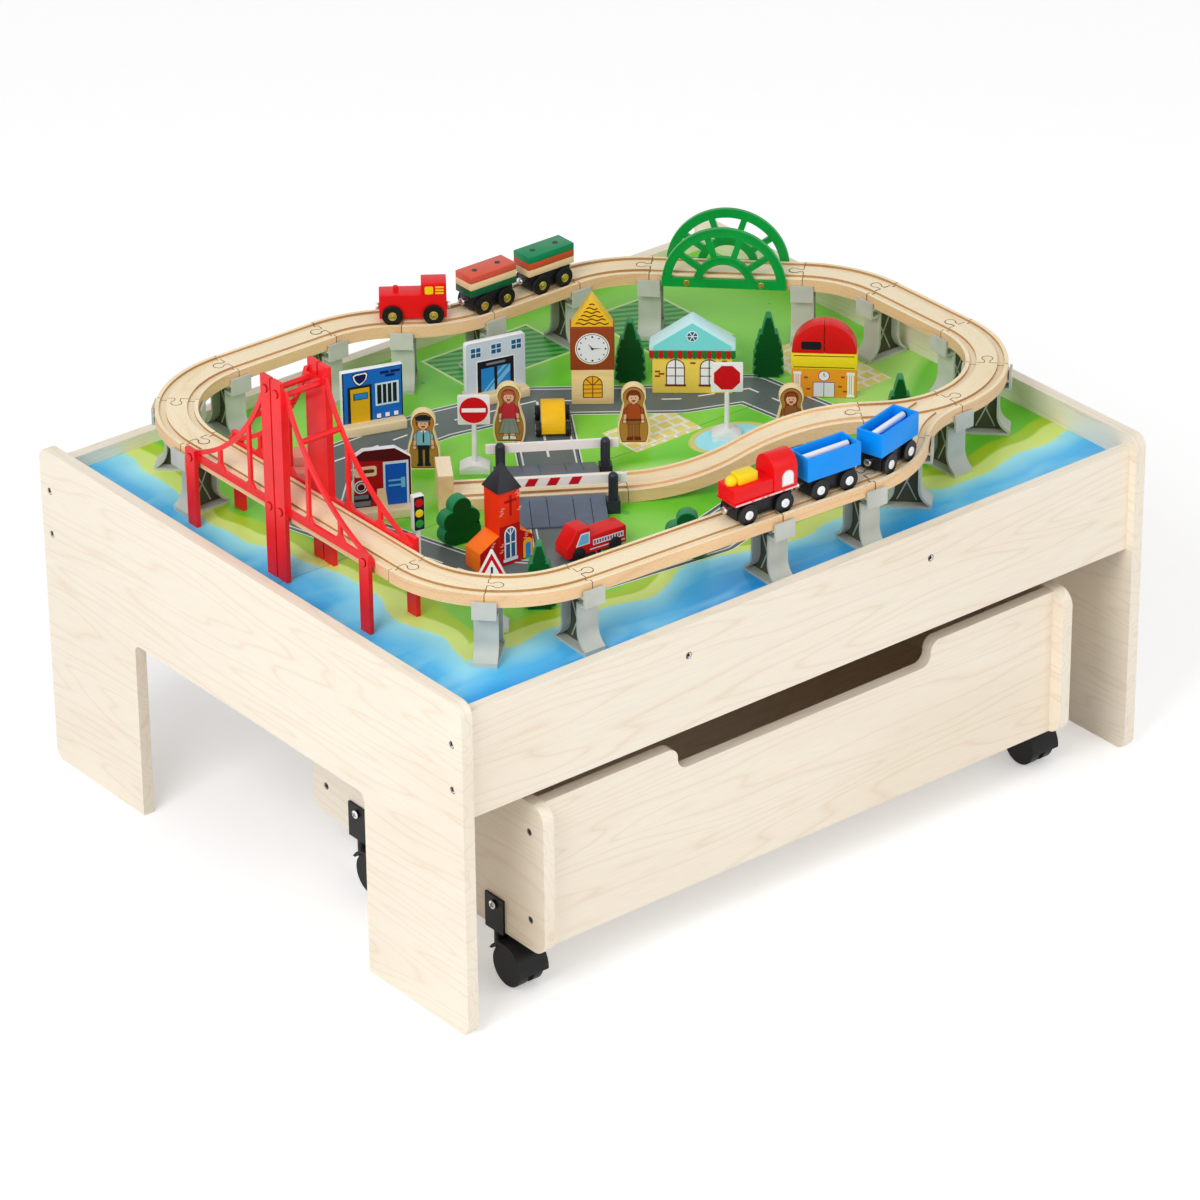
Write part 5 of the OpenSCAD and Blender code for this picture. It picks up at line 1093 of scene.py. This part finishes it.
# Trains: a round-cabbed engine with two open hopper wagons in front, a square engine with two flat cars behind.
# Painted wooden bodies on black chassis blocks, plastic wheels on steel axles and steel couplers.
train_red, train_yellow, train_blue, train_black, train_pink = mix(
    train_red=(238, 16, 22, 0.9, 0.15, 0.08), train_yellow=(252, 220, 20, 0.92, 0.15, 0.08),
    train_blue=(0, 150, 250, 0.9, 0.15, 0.08), train_black=(26, 26, 30, 0.9, 0.2, 0.06),
    train_pink=(244, 206, 204, 0.95, 0.1))
layer_coral, layer_rust, layer_green, layer_forest = mix(
    layer_coral=(226, 92, 70, 0.9, 0.5), layer_rust=(206, 84, 46, 0.9, 0.5), layer_green=(14, 140, 88, 0.88, 0.5),
    layer_forest=(14, 96, 58, 0.88, 0.5))
layer_natural = raw_wood("layer_natural", ink(246, 218, 172), ink(228, 188, 132))
FLOOR = 18.8


def on_track(i, at):
    """the pose at a distance along one piece of the loop"""
    turn = LOOP[i][1]
    return step(JOINTS[i], at, math.copysign(math.degrees(at / BEND_R), turn) if turn else 0)


def inward(base):
    """the shift of a vehicle whose two axles stand on the middle line of a bend"""
    return math.sqrt(BEND_R ** 2 - base ** 2 / 4) - BEND_R


# where each vehicle stands, its turn end for end, its shift on a bend, its wheelbase and its hub caps
TRAIN = {"front_engine": (on_track(1, -14), 180, 0, 40, line_white),
         "front_hopper_1": (on_track(1, 62), 180, 0, 32, line_white),
         "front_hopper_2": (on_track(2, 35), 180, inward(32), 32, line_white),
         "back_engine": (on_track(11, 70), 0, inward(39), 39, brass),
         "back_car_1": (on_track(10, 98), 0, 0, 27, brass), "back_car_2": (on_track(10, 28), 0, 0, 27, brass)}


def on_rails(toy, vehicle):
    (x, y, heading), turn, shift = TRAIN[vehicle][:3]
    bmesh.ops.translate(toy["bm"], verts=toy["bm"].verts, vec=(0, shift, 0))
    set_down(toy, (x, y, heading + turn), RAIL_Z)


def deliver(toy, name, slot):
    on_rails(toy, name)
    hand_over(toy, name + "_body", name, slot, name)


def couplers(toy, long):
    for way in (-1, 1):
        rod(toy, (way * (long / 2 + 1.75), 0, 12), 3.4, 3.5, screw_bright, 0.6, 20, 90, "Y")
        rod(toy, (way * (long / 2 - 2), 0, 12), 1.5, 7, screw_bright, 0, 14, 90, "Y")


def underframe(toy, long):
    block(toy, (-long / 2 + 4, -10.6, 3), (long / 2 - 4, 10.6, FLOOR + 0.2), train_black, 0.8)
    couplers(toy, long)


CAB_HALF = 14
engine = new_toy()
underframe(engine, 69)
block(engine, (-34.5, -CAB_HALF, FLOOR), (34.5, CAB_HALF, 21.4), train_red, 0.6)
block(engine, (-9, -13, 21.3), (34.5, 13, 35.3), train_red, 1.6, 3)
block(engine, (4, -7, 34.5), (25, 7, 44.3), train_yellow, 1.6, 3)
lamp_ball = bmesh.new()
bmesh.ops.create_uvsphere(lamp_ball, u_segments=28, v_segments=16, radius=5.5,
                          matrix=Matrix.Translation((29, 0, 38.3)))
fix(engine, lamp_ball, train_yellow, 0)
cab = bmesh.new()
cab_end = [(-CAB_HALF, 21.3), (CAB_HALF, 21.3)] + arc(0, 39.3, CAB_HALF, 0, 180, 28)
pull(cab, cab.faces.new([cab.verts.new((-34.5, y, z)) for y, z in cab_end]), (26, 0, 0))
fix(engine, cab, train_red, 0.9, 3)
side_prints(engine, CAB_HALF, (train_pink, 1, (-34, 19.3, 34, 20.9), arched(-30, 24, -17, 39)),
            (train_red, 2, *((x, 19.6, x + 2.6, 20.6) for x in (-20, -3, 3, 14))),
            (line_white, 2, arched(-29, 25, -18, 38)))
deliver(engine, "front_engine", "train_red")

for name in ("front_hopper_1", "front_hopper_2"):
    hopper = new_toy()
    underframe(hopper, 60)
    tub = bmesh.new()
    bmesh.ops.create_cube(tub, size=1, matrix=Matrix.Translation((0, 0, FLOOR + 11.5))
                          @ Matrix.Diagonal((60, 28, 23, 1)))
    top = max(tub.faces, key=lambda f: f.calc_center_median().z)
    bmesh.ops.inset_region(tub, faces=[top], thickness=3.5)
    pull(tub, top, (0, 0, -19))
    bmesh.ops.delete(tub, geom=[top], context="FACES_ONLY")
    fix(hopper, tub, train_blue, 0.9, 3)
    for low, high, paint in ((-26.6, -25, train_black), (-25, 26.6, line_white)):
        rod(hopper, ((low + high) / 2, 0, FLOOR + 18), 3, high - low, paint, 0.3, 22, 90, "Y")
    deliver(hopper, name, "train_blue")

BACK_HALF = 10.6
engine = new_toy()
couplers(engine, 64)
block(engine, (-32, -BACK_HALF, 3), (32, BACK_HALF, 27.8), train_red, 1.0, 3)
block(engine, (-32, -BACK_HALF, 26), (-8, BACK_HALF, 39.1), train_red, 1.0, 3)
rod(engine, (16, 0, 30), 2.6, 6, train_red, 0.8)
side_prints(engine, BACK_HALF, (train_yellow, 1, soft_square(-19.5, 28, -11.5, 36, 1.4),
                                *(soft_square(-29.5, z - 0.9, -21.5, z + 0.9, 0.6) for z in (29, 32, 35))))
deliver(engine, "back_engine", "train_red")

LAYER = 7
for name, layers in (("back_car_1", (layer_forest, layer_natural, layer_coral)),
                     ("back_car_2", (layer_natural, layer_rust, layer_green))):
    car = new_toy()
    underframe(car, 55)
    for k, paint in enumerate(layers):
        block(car, (-27.5, -12, FLOOR + LAYER * k), (27.5, 12, FLOOR + LAYER * k + LAYER), paint, 0.6)
    for x in (-13.75, 13.75):
        rod(car, (x, 0, FLOOR + 3 * LAYER), 2.8, 0.4, train_black, 0)
    deliver(car, name, "train_layers")


# Train wheels: moulded black wheels pressed on steel axles.
# Turned hub caps close the ends, white on the front train and brass on the back one.
wheel_black = moulded("wheel_black", ink(24, 24, 26), 0.3, 0.06)
HUB_Z = 7.8
for vehicle, (*_, base, cap) in TRAIN.items():
    for k, x in ((1, base / 2), (2, -base / 2)):
        axle = f"{vehicle}_axle_{k}"
        finish_solids(wheel_black, 0.0011, axle)
        caps = new_toy()
        for side in (-1, 1):
            across(caps, x, HUB_Z, 4.3, side * 14.6, side * 15.7, cap, 0.5)
            across(caps, x, HUB_Z, 1.6, side * 15.5, side * 16.0, brass if cap == brass else dial_white, 0.2, 16)
        on_rails(caps, vehicle)
        hand_over(caps, axle + "_caps", axle, "wheel_black")


# Studio: a plain white floor with soft light from the left and above, and the camera of the picture.
# The floor stays white where it is lit and keeps the table's shadow.
def seen(tree):
    rays = node(tree, "LightPath", {})
    return calc("MAXIMUM", rays["Is Camera Ray"], calc("MAXIMUM", rays["Is Glossy Ray"], rays["Is Transmission Ray"]))


WHITE = (1, 1, 1, 1)
FLOOR_GLOW, SKY, SKY_SEEN = 0.33, 0.54, 0.46
floor_white, tree = new_material("floor_white")
dress(floor_white, tint(noise(spot(tree), 40.0, 2.0), ink(246, 246, 247), ink(250, 250, 250)), 0.7,
      Emission_Color=WHITE, Emission_Strength=times(seen(tree), FLOOR_GLOW))
floor_shape = bmesh.new()
bmesh.ops.create_grid(floor_shape, x_segments=1, y_segments=1, size=9)
floor = new_piece("floor", floor_shape, [floor_white])

world = bpy.data.worlds.new("studio")
bpy.context.scene.world = world
world.use_nodes = True
wire(world.node_tree.nodes["Background"], {0: WHITE, 1: plus(SKY, seen(world.node_tree), SKY_SEEN)})


def lamp(name, power, size, place, aim):
    light = bpy.data.lights.new(name, "AREA")
    light.energy = power
    light.size = size
    stand = bpy.data.objects.new(name, light)
    bpy.context.scene.collection.objects.link(stand)
    stand.location = place
    stand.rotation_euler = (Vector(aim) - Vector(place)).to_track_quat("-Z", "Y").to_euler()


lamp("key", 47.0, 1.6, (-2.4, -0.9, 2.3), (0, 0, 0.3))
lamp("fill", 19.5, 2.2, (0.8, -2.8, 1.8), (0, 0, 0.3))

turn, tilt, roll = (math.radians(a) for a in (-38.60045, 28.50839, -0.54407))
back = Vector((math.sin(turn) * math.cos(tilt), -math.cos(turn) * math.cos(tilt), math.sin(tilt)))
right = Vector((math.cos(turn), math.sin(turn), 0))
up = back.cross(right)
level = right * math.cos(roll) + up * math.sin(roll)
above = up * math.cos(roll) - right * math.sin(roll)
lens = bpy.data.cameras.new("camera")
lens.lens = 169.117
lens.sensor_width = 36
camera = bpy.data.objects.new("camera", lens)
bpy.context.scene.collection.objects.link(camera)
camera.matrix_world = (Matrix.Translation((-2.89674, -3.63780, 2.69005))
                       @ Matrix((level, above, back)).transposed().to_4x4())
bpy.context.scene.camera = camera
bpy.context.scene.view_settings.view_transform = "Standard"
